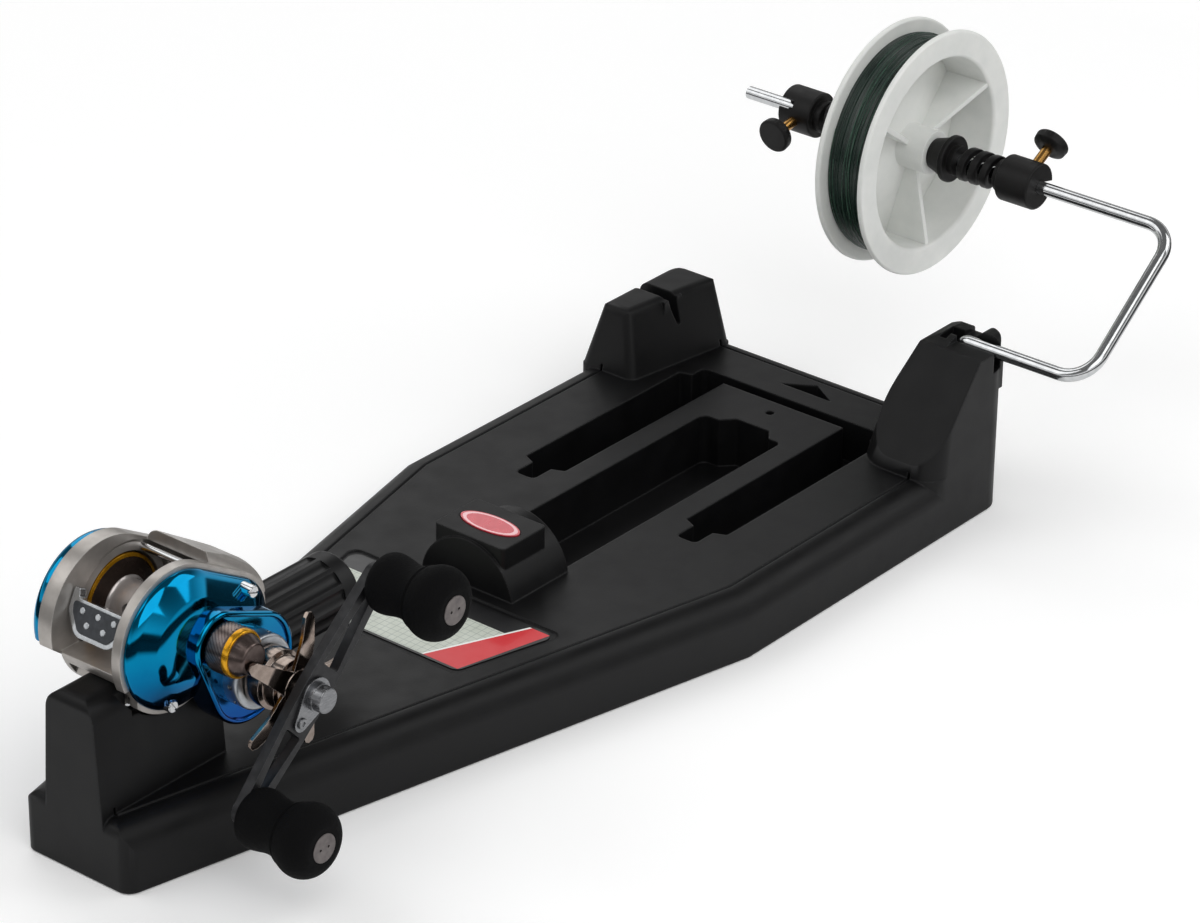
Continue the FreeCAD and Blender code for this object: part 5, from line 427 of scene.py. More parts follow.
def makeFinish(name):
    if name in made:
        return made[name]
    look = finishes[name]
    material = bpy.data.materials.new(name)
    material.use_nodes = True
    tree = material.node_tree
    shader = tree.nodes["Principled BSDF"]
    shader.inputs["Metallic"].default_value = look.get("metallic", 0.0)
    shader.inputs["IOR"].default_value = look.get("ior", 1.5)
    shader.inputs["Specular IOR Level"].default_value = look.get("specular", 0.5)
    shader.inputs["Coat Weight"].default_value = look.get("coat", 0.0)
    shader.inputs["Coat Roughness"].default_value = skin["coatRough"]
    if "soft" in look:
        shader.inputs["Subsurface Weight"].default_value = skin["softWeight"]
        shader.inputs["Subsurface Radius"].default_value = skin["softRadius"]
        shader.inputs["Subsurface Scale"].default_value = look["soft"] * mm
    place = addNode(tree, "TexCoord", {})
    turned = addNode(
        tree, "Mapping", {"Scale": look.get("stretch", (1, 1, 1))}, {"Vector": place.outputs["Object"]}
    )
    weave = {"Scale": 1 / (look["patch"] * mm), "Detail": skin["patchDetail"]}
    patch = addNode(tree, "TexNoise", weave, {"Vector": turned.outputs[0]})
    least, most = skin["noiseSpan"]
    share = addNode(tree, "MapRange", {1: least, 2: most}, {0: patch.outputs[0]})
    pair = {"data_type": "RGBA", 6: linear(look["colour"]), 7: linear(look["tint"])}
    paint = addNode(tree, "Mix", pair, {0: share.outputs[0]})
    if "paintedShade" in look:  # painted shade: the blue deepens towards the lower end
        low, high, deep = look["paintedShade"]
        axes = addNode(tree, "SeparateXYZ", {}, {0: place.outputs["Object"]})
        share = addNode(
            tree, "MapRange", {1: low * mm, 2: high * mm, 3: 1.0, 4: 0.0}, {0: axes.outputs[2]}
        )
        deeper = {"data_type": "RGBA", 7: linear(deep)}
        paint = addNode(tree, "Mix", deeper, {0: share.outputs[0], 6: paint.outputs[2]})
    low, high = look["rough"]
    polish = addNode(tree, "MapRange", {1: least, 2: most, 3: low, 4: high}, {0: patch.outputs[0]})
    tree.links.new(polish.outputs[0], shader.inputs["Roughness"])
    weave = {"Scale": 1 / (look["grain"] * mm), "Detail": skin["grainDetail"]}
    grain = addNode(tree, "TexNoise", weave, {"Vector": turned.outputs[0]})
    bump = {"Strength": 1.0, "Distance": look["depth"] * mm}
    relief = addNode(tree, "Bump", bump, {"Height": grain.outputs[0]})
    tree.links.new(relief.outputs[0], shader.inputs["Normal"])
    if "edge" in look:  # softened edges, with a painted highlight that makes them a little paler
        rounded = addNode(tree, "Bevel", {"samples": skin["bevelSamples"], "Radius": look["edge"] * mm})
        tree.links.new(rounded.outputs[0], relief.inputs["Normal"])
        flat = addNode(tree, "NewGeometry", {})
        both = {0: rounded.outputs[0], 1: flat.outputs["True Normal"]}
        lean = addNode(tree, "VectorMath", {"operation": "DOT_PRODUCT"}, both)
        start, full, most = skin["rubbed"]
        rubbed = addNode(
            tree, "MapRange", {1: start, 2: full, 3: 0.0, 4: most}, {0: lean.outputs["Value"]}
        )
        worn = {"data_type": "RGBA", 7: linear(look["worn"])}
        paint = addNode(tree, "Mix", worn, {0: rubbed.outputs[0], 6: paint.outputs[2]})
    tree.links.new(paint.outputs[2], shader.inputs["Base Color"])
    made[name] = material
    return material


# lays a colour over a finish where the mask is 1
def overlay(material, colour, mask):
    tree = material.node_tree
    socket = tree.nodes["Principled BSDF"].inputs["Base Color"]
    below = socket.links[0].from_socket
    printed = addNode(tree, "Mix", {"data_type": "RGBA", 7: linear(colour)}, {0: mask, 6: below})
    tree.links.new(printed.outputs[2], socket)


# mask that is 1 where low < value < high
def between(tree, value, low, high):
    above = addNode(tree, "Math", {"operation": "GREATER_THAN", 1: low}, {0: value})
    below = addNode(tree, "Math", {"operation": "LESS_THAN", 1: high}, {0: value})
    both = {0: above.outputs[0], 1: below.outputs[0]}
    return addNode(tree, "Math", {"operation": "MULTIPLY"}, both).outputs[0]


def shadeByAngle(bm, sharp):
    for face in bm.faces:
        face.smooth = True
    for edge in bm.edges:
        edge.smooth = len(edge.link_faces) == 2 and edge.calc_face_angle(0.0) < math.radians(sharp)


meshing = {
    "sharp": 36.0,  # degrees, past the steps of the CAD's curves
    "merge": 2e-6,
    "join": 1e-6,
    "level": 0.4,  # degrees between faces that lie in one plane
}


def finished(bm, name, body, finishNames, sharp=meshing["sharp"], replaced=None):
    shadeByAngle(bm, sharp)
    mesh = bpy.data.meshes.new(name)
    bm.to_mesh(mesh)
    bm.free()
    piece = bpy.data.objects.new(name, mesh)
    bpy.context.scene.collection.objects.link(piece)
    for finishName in finishNames:
        piece.data.materials.append(makeFinish(finishName))
    weighted = piece.modifiers.new("evenShading", "WEIGHTED_NORMAL")
    weighted.keep_sharp = True
    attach(piece, body)
    if replaced:
        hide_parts(replaced)
    return piece


# a CAD node's mesh merged, shaded smooth with its real edges kept sharp;
# regions gives other finishes to the faces that pass a test on their middle
def dressed(node, finish, sharp=meshing["sharp"], regions=()):
    source = frame["nodes"][node]
    bm = bmesh.new()
    bm.from_mesh(source.data)
    bmesh.ops.remove_doubles(bm, verts=bm.verts, dist=meshing["merge"])
    bmesh.ops.dissolve_limit(
        bm, angle_limit=math.radians(meshing["level"]), verts=bm.verts, edges=bm.edges
    )
    for face in bm.faces:
        face.material_index = 0
        for index, (other, test) in enumerate(regions):
            if test(face.calc_center_median() / mm):
                face.material_index = index + 1
    names = [finish] + [other for other, test in regions]
    return finished(bm, node + "Skin", source["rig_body"], names, sharp, node)


def bodyOf(node):
    return frame["nodes"][node]["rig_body"]


# what a bmesh operator has just made, of one kind
def kindOf(kind, items):
    return [item for item in items if isinstance(item, kind)]


# the new end of an open rim of edges: its corners and its edges
def extended(bm, edges):
    grown = bmesh.ops.extrude_edge_only(bm, edges=edges)["geom"]
    verts = kindOf(bmesh.types.BMVert, grown)
    return verts, [
        edge for edge in kindOf(bmesh.types.BMEdge, grown) if all(v in verts for v in edge.verts)
    ]


def turnAbout(axis, degrees, size=3):
    return Matrix.Rotation(math.radians(degrees), size, axis)


# rounds corners or edges; the faces keep their finish
def soften(bm, parts, kind, size, steps):
    bmesh.ops.bevel(
        bm, geom=parts, affect=kind, offset=size * mm, segments=steps, profile=0.5, material=-1
    )


# x and z of the line that a round node turns about, in millimetres
def axisOf(node):
    low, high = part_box(node)
    middle = (low + high) / 2 / mm
    return middle.x, middle.z


# lowest and highest y of a node, in millimetres
def endsOf(node):
    low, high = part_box(node)
    return low.y / mm, high.y / mm


# closed profile of (radius, y) in millimetres, spun about the line through (x, z)
def lathe(profile, x, z, steps):
    bm = bmesh.new()
    corners = [bm.verts.new(Vector((x + radius, y, z)) * mm) for radius, y in profile]
    for first, second in zip(corners, corners[1:] + corners[:1]):
        bm.edges.new((first, second))
    bmesh.ops.spin(
        bm,
        geom=bm.verts[:] + bm.edges[:],
        cent=Vector((x, 0, z)) * mm,
        axis=(0, 1, 0),
        dvec=(0, 0, 0),
        angle=2 * math.pi,
        steps=steps,
        use_merge=True,
    )
    bmesh.ops.remove_doubles(bm, verts=bm.verts, dist=meshing["join"])
    bmesh.ops.recalc_face_normals(bm, faces=bm.faces)
    return bm


makeCamera()
makeFloor()
makeSky()
makeLamps()
bpy.context.scene.view_settings.view_transform = "Standard"
print("studio ready")

spoolAxis = axisOf("spool_shaft")
crankAxis = axisOf("drag_ring")
supplyAxis = axisOf("line_spool")
bronzeFrom = 10.6  # from the axis out, the spool is bronze
steelSharp = 25.0


def onFlanges(middle):
    return math.hypot(middle.x - spoolAxis[0], middle.z - spoolAxis[1]) > bronzeFrom


wear = {
    # slot: (finish, nodes)
    "base_plastic": ("mouldedAbs", ["base_housing"]),
    "seat_plastic": ("clampNylon", ["seat_stud", "seat_hood", "clamp_barrel"]),
    "label": ("printedVinyl", ["label_sticker"]),
    "badge_red": ("redLacquer", ["oval_badge"]),
    "frame_alloy": ("castAluminium", ["reel_frame"]),
    "cover_blue": ("blueAnodised", ["palm_side_cover"]),
    "bright_steel": ("chromedSteel", ["reel_foot"]),
    "shaft_steel": (
        "groundSteel",
        ["spool_shaft", "worm_shaft", "drive_shaft", "knob_spindles", "spool_bearings", "foot_rivets"],
    ),
    "gear_brass": ("cutBrass", ["main_gear", "pinion_gear"]),
    "gear_plastic": ("mouldedAcetal", ["worm_drive_gear", "worm_gear"]),
    "drag_fibre": ("pressedFibre", ["drag_washers"]),
    "guide_alloy": ("satinNickel", ["line_guide"]),
    "cap_gunmetal": ("gunmetal", ["cast_control_cap"]),
    "ring_gold": ("goldAnodised", ["cap_ring"]),
    "star_bronze": ("darkNickel", ["star_drag"]),
    "handle_black": ("blackAnodised", ["handle_arm"]),
    "knob_foam": ("evaFoam", ["front_knob", "rear_knob"]),
    "cap_grey": ("greyCap", ["front_knob_cap", "rear_knob_cap"]),
    "thumb_silver": ("metallisedAbs", ["thumb_bar"]),
    "thumb_pad": ("softPad", ["thumb_pad"]),
    "spool_plastic": ("milkyPolypropylene", ["line_spool"]),
    "hub_plastic": (
        "hubNylon",
        ["near_cone", "far_cone", "near_collar", "far_collar", "near_screw_head", "far_screw_head"],
    ),
    "screw_brass": ("turnedBrass", ["near_screw", "far_screw"]),
}
for slotName, (finishName, nodeNames) in wear.items():
    for nodeName in nodeNames:
        dressed(nodeName, finishName)
for nodeName in ("handle_plate", "plate_screw", "handle_nut"):
    dressed(nodeName, "satinSteel", sharp=steelSharp)
dressed("reel_spool", "polishedAluminium", regions=[("bronzeAnodised", onFlanges)])
print("CAD nodes dressed")


# diamond knurl on the cap, drawn 1 mm so that it shows: rings of points, every second one proud
knurl = {
    "radius": 9.1, "rise": 0.34, "start": -29.3, "end": -37.1, "around": 64, "rows": 10, "inner": 8.6,
    "sharp": 8.0,
}


def makeKnurl():
    x, z = spoolAxis
    rings = knurl["rows"]
    step = (knurl["end"] - knurl["start"]) / rings
    bm = bmesh.new()
    bmesh.ops.create_circle(bm, segments=knurl["around"], radius=knurl["radius"] * mm)
    bmesh.ops.rotate(bm, cent=(0, 0, 0), matrix=turnAbout("X", 90), verts=bm.verts)
    bmesh.ops.translate(bm, vec=Vector((x, knurl["start"], z)) * mm, verts=bm.verts)
    first = edges = bm.edges[:]
    for row in range(rings):
        verts, edges = extended(bm, edges)
        bmesh.ops.translate(bm, vec=(0, step * mm, 0), verts=verts)
    pitch = 2 * math.pi / knurl["around"]
    proud = []
    for vert in bm.verts:
        row = round((vert.co.y / mm - knurl["start"]) / step)
        place = round(math.atan2(vert.co.z - z * mm, vert.co.x - x * mm) / pitch)
        if 0 < row < rings and (row + place) % 2:
            proud.append(vert)
    swell = 1 + knurl["rise"] / knurl["radius"]
    axisPlace = Matrix.Translation(Vector((-x, 0, -z)) * mm)
    bmesh.ops.scale(bm, vec=(swell, 1, swell), space=axisPlace, verts=proud)
    shrink = knurl["inner"] / knurl["radius"]
    ends = []
    for loop in (first, edges):
        verts, rim = extended(bm, loop)
        ends += rim
        bmesh.ops.scale(bm, vec=(shrink, 1, shrink), space=axisPlace, verts=verts)
    bmesh.ops.bridge_loops(bm, edges=ends)
    bmesh.ops.recalc_face_normals(bm, faces=bm.faces)
    finished(
        bm, "capKnurl", bodyOf("cast_control_cap"), ["gunmetal"], sharp=knurl["sharp"]
    )


# handle-side cover: a coned plate with a flat middle, and the gear housing with its raised rim
sideCover = {
    "rear": (-183.1, 83.4), "front": (-156.0, 78.5), "rearRadius": 26.3, "frontRadius": 16.9,
    "back": -14.6, "start": -15.7,
    # width and height of each band, from the rim to the middle
    "bands": [(0.5, 0.9), (0.8, 0.9), (1.2, 1.15), (5.6, 3.65), (0.7, 0.35), (6.4, 3.1)],
}
gearHousing = {
    "crankRadius": 21.6, "spoolRadius": 12.4, "back": -17.0, "start": -27.65,
    "bands": [
        (0.25, 0.7), (0.4, 0.45), (0.55, 0.2), (0.4, 0.0), (0.45, -0.25), (0.35, -0.6), (0.12, -2.6)
    ],
    "lean": 0.06,  # the rim falls towards the crank
    "leanLimit": -25.2,
}
capBoss = {"profile": [(2.2, -25.0), (8.9, -25.0), (8.9, -29.0), (2.2, -29.0)], "steps": 64}
hull = {"segments": 128, "level": 0.2, "reach": 0.01}


# flat prism around two discs
def hullPrism(first, firstRadius, second, secondRadius, low, high):
    bm = bmesh.new()
    for (x, z), radius in ((first, firstRadius), (second, secondRadius)):
        place = Matrix.Translation(Vector((x, (low + high) / 2, z)) * mm) @ turnAbout("X", 90, 4)
        size, depth = radius * mm, abs(high - low) * mm
        bmesh.ops.create_cone(
            bm, segments=hull["segments"], radius1=size, radius2=size, depth=depth, matrix=place
        )
    bmesh.ops.delete(bm, geom=bm.edges[:] + bm.faces[:], context="EDGES_FACES")
    wrapped = bmesh.ops.convex_hull(bm, input=bm.verts[:])
    spare = {item for key in ("geom_interior", "geom_unused") for item in wrapped[key]}
    bmesh.ops.delete(bm, geom=kindOf(bmesh.types.BMVert, spare), context="VERTS")
    bmesh.ops.dissolve_limit(
        bm, angle_limit=math.radians(hull["level"]), verts=bm.verts, edges=bm.edges
    )
    bmesh.ops.recalc_face_normals(bm, faces=bm.faces)
    return bm


def raiseBands(bm, bands):
    top = min(bm.faces, key=lambda face: face.calc_center_median().y + face.normal.y)
    for width, height in bands:
        bmesh.ops.inset_region(
            bm, faces=[top], thickness=width * mm, depth=height * mm, use_even_offset=True
        )


def makeHandleSideCover():
    look = sideCover
    plate = hullPrism(
        look["rear"],
        look["rearRadius"],
        look["front"],
        look["frontRadius"],
        look["back"],
        look["start"],
    )
    raiseBands(plate, look["bands"])

    look = gearHousing
    housing = hullPrism(
        crankAxis, look["crankRadius"], spoolAxis, look["spoolRadius"], look["back"], look["start"]
    )
    raiseBands(housing, look["bands"])
    run = Vector((crankAxis[0] - spoolAxis[0], 0, crankAxis[1] - spoolAxis[1])).normalized()
    for vert in housing.verts:
        if vert.co.y < (look["start"] + hull["reach"]) * mm:
            away = (vert.co - Vector((spoolAxis[0], 0, spoolAxis[1])) * mm).dot(run)
            vert.co.y = min(vert.co.y + max(away, 0.0) * look["lean"], look["leanLimit"] * mm)

    boss = lathe(capBoss["profile"], *spoolAxis, capBoss["steps"])
    for name, bm in (("handleSideCover", plate), ("gearHousing", housing), ("capBoss", boss)):
        finished(bm, name, "base", ["blueAnodised"], replaced="handle_side_cover")


# drag ring standing in the housing, with a row of round holes in its side
dragRing = {
    "bore": 3.4, "radius": 14.4, "back": -25.0, "front": -32.4, "holeLow": -28.0, "holeHigh": -29.9,
    "face": 10.4,
    "rounding": [(0.0, 1.2), (0.3, 0.6), (1.0, 0.2)],  # in from the side, back from the front
    "steps": 48, "every": 4, "margin": 0.1, "round": 0.62, "roundSteps": 3, "depth": 1.5,
    "corners": 8,  # a rounded hole has more than this
    "reach": (0.1, 0.3, 0.4),  # how near a face lies: along the axis, at the side, at a hole's floor
}


def makeDragRing():
    look = dragRing
    x, z = crankAxis
    radius = look["radius"]
    outline = [
        (look["bore"], look["back"]),
        (radius, look["back"]),
        (radius, look["holeLow"]),
        (radius, look["holeHigh"]),
    ]
    outline += [(radius - inward, look["front"] + backward) for inward, backward in look["rounding"]]
    outline += [(look["face"], look["front"]), (look["bore"], look["front"])]
    bm = lathe(outline, x, z, look["steps"])
    middle = (look["holeLow"] + look["holeHigh"]) / 2
    turn = 2 * math.pi / look["steps"]
    along, atSide, atFloor = look["reach"]

    def offAxis(face):
        place = face.calc_center_median() / mm
        return math.hypot(place.x - x, place.z - z)

    band = []
    for face in bm.faces:
        place = face.calc_center_median() / mm
        if abs(place.y - middle) < along and offAxis(face) > radius - atSide:
            if math.floor(math.atan2(place.z - z, place.x - x) / turn) % look["every"] == 0:
                band.append(face)
    bmesh.ops.inset_individual(bm, faces=band, thickness=look["margin"] * mm)
    for face in band:
        soften(bm, face.verts[:], "VERTICES", look["round"], look["roundSteps"])
    floors = [
        face
        for face in bm.faces
        if len(face.verts) > look["corners"] and offAxis(face) > radius - atFloor
    ]
    grown = bmesh.ops.extrude_discrete_faces(bm, faces=floors)["faces"]
    inner = list({vert for face in grown for vert in face.verts})
    shrink = 1 - look["depth"] / radius
    axisPlace = Matrix.Translation(Vector((-x, 0, -z)) * mm)
    bmesh.ops.scale(bm, vec=(shrink, 1, shrink), space=axisPlace, verts=inner)
    bmesh.ops.recalc_face_normals(bm, faces=bm.faces)
    finished(bm, "dragRing", "base", ["satinAluminium"], replaced="drag_ring")


# cover screws: a long slotted one in front, a short one behind
coverScrew = {
    "foot": -18.0, "radius": 2.4, "edge": 0.5, "edgeSteps": 3, "slot": 0.42, "slotDepth": 0.7,
    "segments": 40,
    "cut": 1e-7,  # how near the plane of a cut a corner counts as on it
    "upward": 0.1,  # a normal's z, past which a face looks up
    # name, place, face of the head, angle of the slot
    "screws": [
        ("rearCoverScrew", (-191.7, 61.8), -20.9, 35.0),
        ("frontCoverScrew", (-152.3, 92.2), -23.6, 70.0),
    ],
}


def makeCoverScrew(name, place, face, angle):
    look = coverScrew
    bm = bmesh.new()
    depth, half, radius = (look["foot"] - face) * mm, look["slot"] * mm, look["radius"] * mm
    bmesh.ops.create_cone(
        bm, cap_ends=True, segments=look["segments"], radius1=radius, radius2=radius, depth=depth
    )
    rim = [edge for edge in bm.edges if all(vert.co.z > 0 for vert in edge.verts)]
    soften(bm, rim, "EDGES", look["edge"], look["edgeSteps"])
    for side in (-1, 1):
        parts = bm.verts[:] + bm.edges[:] + bm.faces[:]
        bmesh.ops.bisect_plane(
            bm, geom=parts, dist=look["cut"], plane_co=(side * half, 0, 0), plane_no=(1, 0, 0)
        )
    lands = [
        face
        for face in bm.faces
        if face.normal.z > look["upward"] and abs(face.calc_center_median().x) < half
    ]
    grown = bmesh.ops.extrude_face_region(bm, geom=lands)["geom"]
    sunk = kindOf(bmesh.types.BMVert, grown)
    bmesh.ops.translate(bm, vec=(0, 0, -look["slotDepth"] * mm), verts=sunk)
    bmesh.ops.delete(bm, geom=[face for face in lands if face.is_valid], context="FACES")
    for axis, degrees in (("Z", angle), ("X", 90)):
        bmesh.ops.rotate(bm, cent=(0, 0, 0), matrix=turnAbout(axis, degrees), verts=bm.verts)
    middle = (look["foot"] + face) / 2
    bmesh.ops.translate(bm, vec=Vector((place[0], middle, place[1])) * mm, verts=bm.verts)
    bmesh.ops.recalc_face_normals(bm, faces=bm.faces)
    finished(
        bm, name, bodyOf("cover_screws"), ["chromedSteel"], replaced="cover_screws"
    )


# silver studs in the pad of the thumb bar
padStuds = {
    # height of each row and the places along it
    "rows": ((3.6, (-7.6, 0.0, 7.6)), (-0.8, (-4.0, 4.0))),
    "radius": 1.3, "thick": 0.5, "edge": 0.3, "edgeSteps": 3, "sharp": 60.0, "segments": 24,
    "lean": 27.0, "place": (-203.7, 4.25, 90.0), "rest": -0.25,
}


def makePadStuds():
    look = padStuds
    bm = bmesh.new()
    radius, thick = look["radius"] * mm, look["thick"] * mm
    for rise, steps in look["rows"]:
        for step in steps:
            spot = Matrix.Translation(Vector((look["rest"], step, rise)) * mm)
            bmesh.ops.create_cone(
                bm,
                cap_ends=True,
                segments=look["segments"],
                radius1=radius,
                radius2=radius,
                depth=thick,
                matrix=spot @ turnAbout("Y", 90, 4),
            )
    sharp = math.radians(look["sharp"])
    rims = [edge for edge in bm.edges if edge.calc_face_angle() > sharp]
    soften(bm, rims, "EDGES", look["edge"], look["edgeSteps"])
    bmesh.ops.rotate(bm, cent=(0, 0, 0), matrix=turnAbout("Y", look["lean"]), verts=bm.verts)
    bmesh.ops.translate(bm, vec=Vector(look["place"]) * mm, verts=bm.verts)
    bmesh.ops.recalc_face_normals(bm, faces=bm.faces)
    finished(bm, "padStuds", bodyOf("thumb_pad"), ["metallisedAbs"])


# satin ring in the frame round the spool's palm-side flange, and the gold ring on that flange
flareRing = {
    "profile": [(19.0, 19.85), (19.3, 19.7), (22.6, 20.1), (22.9, 20.4), (22.6, 20.9), (19.0, 21.3)],
    "steps": 96,
}
flangeRing = {
    "profile": [(16.7, 19.72), (17.95, 20.05), (18.05, 20.3), (18.05, 21.2), (16.7, 20.6)], "steps": 96
}

flare = lathe(flareRing["profile"], *spoolAxis, flareRing["steps"])
finished(flare, "flareRing", bodyOf("reel_frame"), ["castAluminium"])
makeKnurl()
ring = lathe(flangeRing["profile"], *spoolAxis, flangeRing["steps"])
finished(ring, "flangeRing", bodyOf("reel_spool"), ["goldAnodised"])
makeHandleSideCover()
makeDragRing()
for screw in coverScrew["screws"]:
    makeCoverScrew(*screw)
makePadStuds()
print("reel details made")


# line on the supply spool: strands side by side, drawn 0.7 mm so that they show, and a few that cross
winding = {
    "core": 43.8, "radius": 46.3, "strands": 26, "steps": 144,
    "swell": 0.34, "arch": ((0.0, 0.0), (0.22, 0.75), (0.5, 1.0), (0.78, 0.75)), "sharp": 60.0,
    "waves": ((0.16, 2.4), (0.12, 0.7)),  # strands don't lie level: height and pace of each wave
}
crossing = {
    "count": 16, "radius": 0.17, "segments": 8, "span": (60.0, 150.0), "drift": 3.4, "rise": 0.24,
    "margin": 3.6,
    "stepDegrees": 4,
    "shares": (0.382, 0.618, 0.271),  # pace of the start, the span and the place, so that none repeats
}


def makeWinding():
    look = winding
    low, high = endsOf("line_winding")
    pitch = (high - low) / look["strands"]
    profile = [(look["core"], low)]
    for index in range(look["strands"]):
        lift = sum(height * math.sin(index * pace) for height, pace in look["waves"])
        start = low + index * pitch
        for share, height in look["arch"]:
            profile.append(
                (look["radius"] + lift * (height > 0) + height * look["swell"], start + share * pitch)
            )
    profile += [(look["radius"], high), (look["core"], high)]
    bm = lathe(profile, *supplyAxis, look["steps"])
    finished(
        bm,
        "woundLine",
        bodyOf("line_winding"),
        ["monofilament"],
        sharp=look["sharp"],
        replaced="line_winding",
    )


def makeCrossings():
    x, z = supplyAxis
    crown = winding["radius"] + winding["swell"] + crossing["rise"]
    startPace, spanPace, placePace = crossing["shares"]
    least, most = crossing["span"]
    low, high = endsOf("line_winding")
    nearest = low + crossing["margin"]
    room = high - low - 2 * crossing["margin"]
    radius, segments = crossing["radius"] * mm, crossing["segments"]
    bm = bmesh.new()
    for index in range(crossing["count"]):
        start = 2 * math.pi * (index * startPace % 1.0)
        span = least + (most - least) * (index * spanPace % 1.0)
        drift = crossing["drift"] * (1 if index % 2 else -1)
        y = nearest + room * (index * placePace % 1.0)
        spot = Matrix.Translation(Vector((crown, y, 0)) * mm)
        disc = bmesh.ops.create_circle(
            bm, cap_ends=True, segments=segments, radius=radius, matrix=spot
        )["verts"]
        edges = {edge for vert in disc for edge in vert.link_edges}
        faces = {face for vert in disc for face in vert.link_faces}
        steps = round(span / crossing["stepDegrees"])
        before = set(bm.verts) - set(disc)
        bmesh.ops.spin(
            bm,
            geom=[*disc, *edges, *faces],
            cent=(0, 0, 0),
            axis=(0, 1, 0),
            dvec=(0, drift * mm / steps, 0),
            angle=math.radians(span),
            steps=steps,
            use_merge=False,
        )
        strand = [vert for vert in bm.verts if vert not in before]
        bmesh.ops.rotate(bm, cent=(0, 0, 0), matrix=Matrix.Rotation(start, 3, "Y"), verts=strand)
    bmesh.ops.translate(bm, vec=Vector((x, 0, z)) * mm, verts=bm.verts)
    bmesh.ops.remove_doubles(bm, verts=bm.verts, dist=meshing["join"])
    bmesh.ops.recalc_face_normals(bm, faces=bm.faces)
    # the crossing strands get the paler copy of the line's colour: painted highlight
    finished(bm, "crossingStrands", bodyOf("line_winding"), ["paintedLitMonofilament"])


makeWinding()
makeCrossings()
print("line wound")


# round wire along straight runs and true bends
def bentWire(points, bends, radius, around, bendSteps=12):
    corners = [Vector(point) * mm for point in points]
    size = radius * mm
    heading = (corners[1] - corners[0]).normalized()
    bm = bmesh.new()
    place = Matrix.Translation(corners[0]) @ heading.to_track_quat("Z", "Y").to_matrix().to_4x4()
    bmesh.ops.create_circle(bm, cap_ends=True, segments=around, radius=size, matrix=place)
    rim = bm.edges[:]
    here = corners[0]
    for index, corner in enumerate(corners[1:]):
        last = index == len(corners) - 2
        if not last:
            ahead = (corners[index + 2] - corner).normalized()
            angle = heading.angle(ahead)
            bend = bends[index] * mm
            stop = corner - heading * bend * math.tan(angle / 2)
        else:
            stop = corner
        verts, rim = extended(bm, rim)
        bmesh.ops.translate(bm, vec=stop - here, verts=verts)
        if last:
            break
        axis = heading.cross(ahead).normalized()
        centre = stop + axis.cross(heading).normalized() * bend
        turned = bmesh.ops.spin(
            bm,
            geom=verts + rim,
            cent=centre,
            axis=axis,
            dvec=(0, 0, 0),
            angle=angle,
            steps=bendSteps,
            use_merge=False,
        )["geom_last"]
        rim = kindOf(bmesh.types.BMEdge, turned)
        here = centre + Matrix.Rotation(angle, 3, axis) @ (stop - centre)
        heading = ahead
    bmesh.ops.holes_fill(bm, edges=rim, sides=0)
    bmesh.ops.recalc_face_normals(bm, faces=bm.faces)
    return bm


bail = {
    "points": [
        (212.8, -70.5, 55.2),
        (212.8, -70.5, 70.2),
        (212.8, -130.9, 70.2),
        (supplyAxis[0], -130.9, supplyAxis[1]),
        (supplyAxis[0], 85.0, supplyAxis[1]),
    ],
    "bends": (4.2, 13.0, 13.0), "radius": 2.75, "around": 36,
}
rail = {"radius": 1.5, "around": 24}

wire = bentWire(bail["points"], bail["bends"], bail["radius"], bail["around"])
finished(wire, "bailWire", bodyOf("line_bail"), ["brightWire"], replaced="line_bail")
railX, railZ = axisOf("guide_rail")
railRun = [(railX, y, railZ) for y in endsOf("guide_rail")]
rod = bentWire(railRun, (), rail["radius"], rail["around"])
finished(rod, "railRod", bodyOf("guide_rail"), ["chromedSteel"], replaced="guide_rail")
print("wires bent")


# coil springs of thick strip; the wire shows between the turns
coil = {
    "radius": 6.0, "width": 3.5, "thick": 2.8, "edge": 0.6, "edgeSteps": 2, "turns": 2.9,
    "stepsPerTurn": 32,
}


def makeSpring(name, node):
    x, z = supplyAxis
    start, end = sorted(endsOf(node), key=abs)  # from the cone outwards
    side = 1 if end > start else -1
    travel = (abs(end - start) - coil["width"]) * side
    steps = round(coil["turns"] * coil["stepsPerTurn"])
    bm = bmesh.new()
    bmesh.ops.create_grid(bm, x_segments=1, y_segments=1, size=mm / 2)  # a millimetre each way
    bmesh.ops.scale(bm, vec=(coil["thick"], coil["width"], 1), verts=bm.verts)
    soften(bm, bm.verts[:], "VERTICES", coil["edge"], coil["edgeSteps"])
    bmesh.ops.translate(bm, vec=Vector((coil["radius"], 0, 0)) * mm, verts=bm.verts)
    bmesh.ops.spin(
        bm,
        geom=bm.verts[:] + bm.edges[:] + bm.faces[:],
        cent=(0, 0, 0),
        axis=(0, 1, 0),
        dvec=(0, travel * mm / steps, 0),
        angle=2 * math.pi * coil["turns"],
        steps=steps,
        use_merge=False,
    )
    bmesh.ops.translate(bm, vec=Vector((x, start + side * coil["width"] / 2, z)) * mm, verts=bm.verts)
    bmesh.ops.recalc_face_normals(bm, faces=bm.faces)
    finished(bm, name, bodyOf(node), ["blackedSteel"], replaced=node)


makeSpring("nearSpring", "near_spring")
makeSpring("farSpring", "far_spring")
print("springs coiled")


# twin seam where each knob's bulb starts
knobSeam = {
    "knobs": ("front_knob", "rear_knob"),
    "rings": [(11.42, -76.7), (11.86, -77.6)],
    "proud": 0.2, "half": 0.28, "crownHalf": 0.12, "sunk": 0.6, "steps": 64,
}


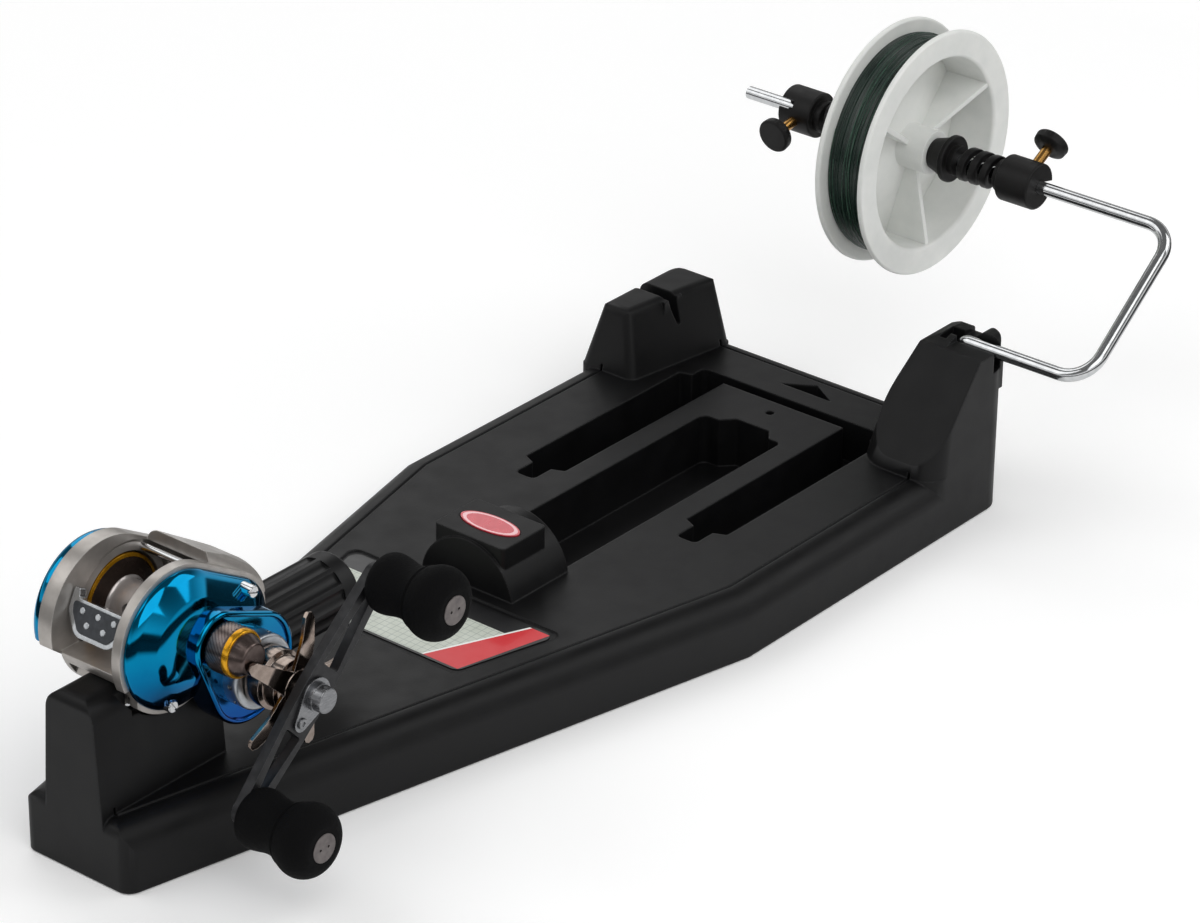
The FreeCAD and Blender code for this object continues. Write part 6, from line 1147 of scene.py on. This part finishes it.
def makeSeams():
    look = knobSeam
    half, crownHalf = look["half"], look["crownHalf"]
    for node in look["knobs"]:
        x, z = axisOf(node)
        for index, (radius, y) in enumerate(look["rings"]):
            low, crown = radius - look["sunk"], radius + look["proud"]
            profile = [(low, y + half), (crown, y + crownHalf), (crown, y - crownHalf), (low, y - half)]
            ring = lathe(profile, x, z, look["steps"])
            finished(ring, f"{node}Seam{index}", bodyOf(node), ["evaFoam"])


makeSeams()
print("seams laid")


# prints and marks laid over finishes, on the same millimetre frame as the parts
marks = {
    "far": 1000.0,  # past every edge of the part
    # sticker: hairline rules, a dark strip, a red end with a pale edge
    "rulePitch": 1.5, "ruleWidth": 0.12, "ruleColour": "#9aa39c", "darkFrom": -29.0,
    "darkColour": "#151517",
    "redBelow": -36.0, "redSlant": 0.45, "redColour": "#d3222b", "paleEdge": 1.1,
    "paleColour": "#eef0ec",
    "borderEnds": (-60.6, -19.4), "borderSlope": -0.25, "borderSide": 53.9, "borderColour": "#0b0b0c",
    # badge: pale rim round the oval, as shares of the way out to its edge
    "rimFrom": 0.8, "rimTo": 0.93, "rimColour": "#f0b9bd",
    # knobs: seam where the bulb starts
    "seam": -77.2, "seamHalf": 0.25, "seamColour": "#020202",
}


def printLabel():
    material = makeFinish("printedVinyl")
    tree = material.node_tree
    far = marks["far"]
    place = addNode(tree, "TexCoord", {})
    inMm = addNode(
        tree, "VectorMath", {"operation": "SCALE", "Scale": 1 / mm}, {0: place.outputs["Object"]}
    )
    x, y = addNode(tree, "SeparateXYZ", {}, {0: inMm.outputs[0]}).outputs[:2]

    def lay(colour, value, low, high):
        overlay(material, marks[colour], between(tree, value, low, high))

    for axis in (x, y):
        within = addNode(tree, "Math", {"operation": "PINGPONG", 1: marks["rulePitch"]}, {0: axis})
        lay("ruleColour", within.outputs[0], -far, marks["ruleWidth"])
    lay("darkColour", x, marks["darkFrom"], far)
    slant = addNode(tree, "Math", {"operation": "MULTIPLY_ADD", 1: marks["redSlant"]}, {0: x, 2: y})
    edge = marks["redBelow"] + marks["redSlant"] * marks["darkFrom"]
    lay("paleColour", slant.outputs[0], edge, edge + marks["paleEdge"])
    lay("redColour", slant.outputs[0], -far, edge)
    low, high = marks["borderEnds"]
    lay("borderColour", x, -far, low)
    lay("borderColour", x, high, far)
    across = addNode(tree, "Math", {"operation": "ABSOLUTE"}, {0: y})
    slope = {"operation": "MULTIPLY_ADD", 1: marks["borderSlope"]}
    side = addNode(tree, "Math", slope, {0: x, 2: across.outputs[0]})
    lay("borderColour", side.outputs[0], marks["borderSide"], far)


def printBadge():
    material = makeFinish("redLacquer")
    tree = material.node_tree
    low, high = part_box("oval_badge")
    middle, half = (low + high) / 2, (high - low) / 2
    shift, grow = (-middle.x / half.x, -middle.y / half.y, 0), (1 / half.x, 1 / half.y, 0)
    place = addNode(tree, "TexCoord", {})
    centred = addNode(
        tree, "Mapping", {"Location": shift, "Scale": grow}, {"Vector": place.outputs["Object"]}
    )
    away = addNode(tree, "VectorMath", {"operation": "LENGTH"}, {0: centred.outputs[0]})
    overlay(
        material,
        marks["rimColour"],
        between(tree, away.outputs["Value"], marks["rimFrom"], marks["rimTo"]),
    )


def markKnobs():
    material = makeFinish("evaFoam")
    tree = material.node_tree
    place = addNode(tree, "TexCoord", {})
    axes = addNode(tree, "SeparateXYZ", {}, {0: place.outputs["Object"]})
    low, high = ((marks["seam"] + side * marks["seamHalf"]) * mm for side in (-1, 1))
    overlay(material, marks["seamColour"], between(tree, axes.outputs[1], low, high))


printLabel()
printBadge()
markKnobs()
print("marks printed")

bpy.context.view_layer.update()
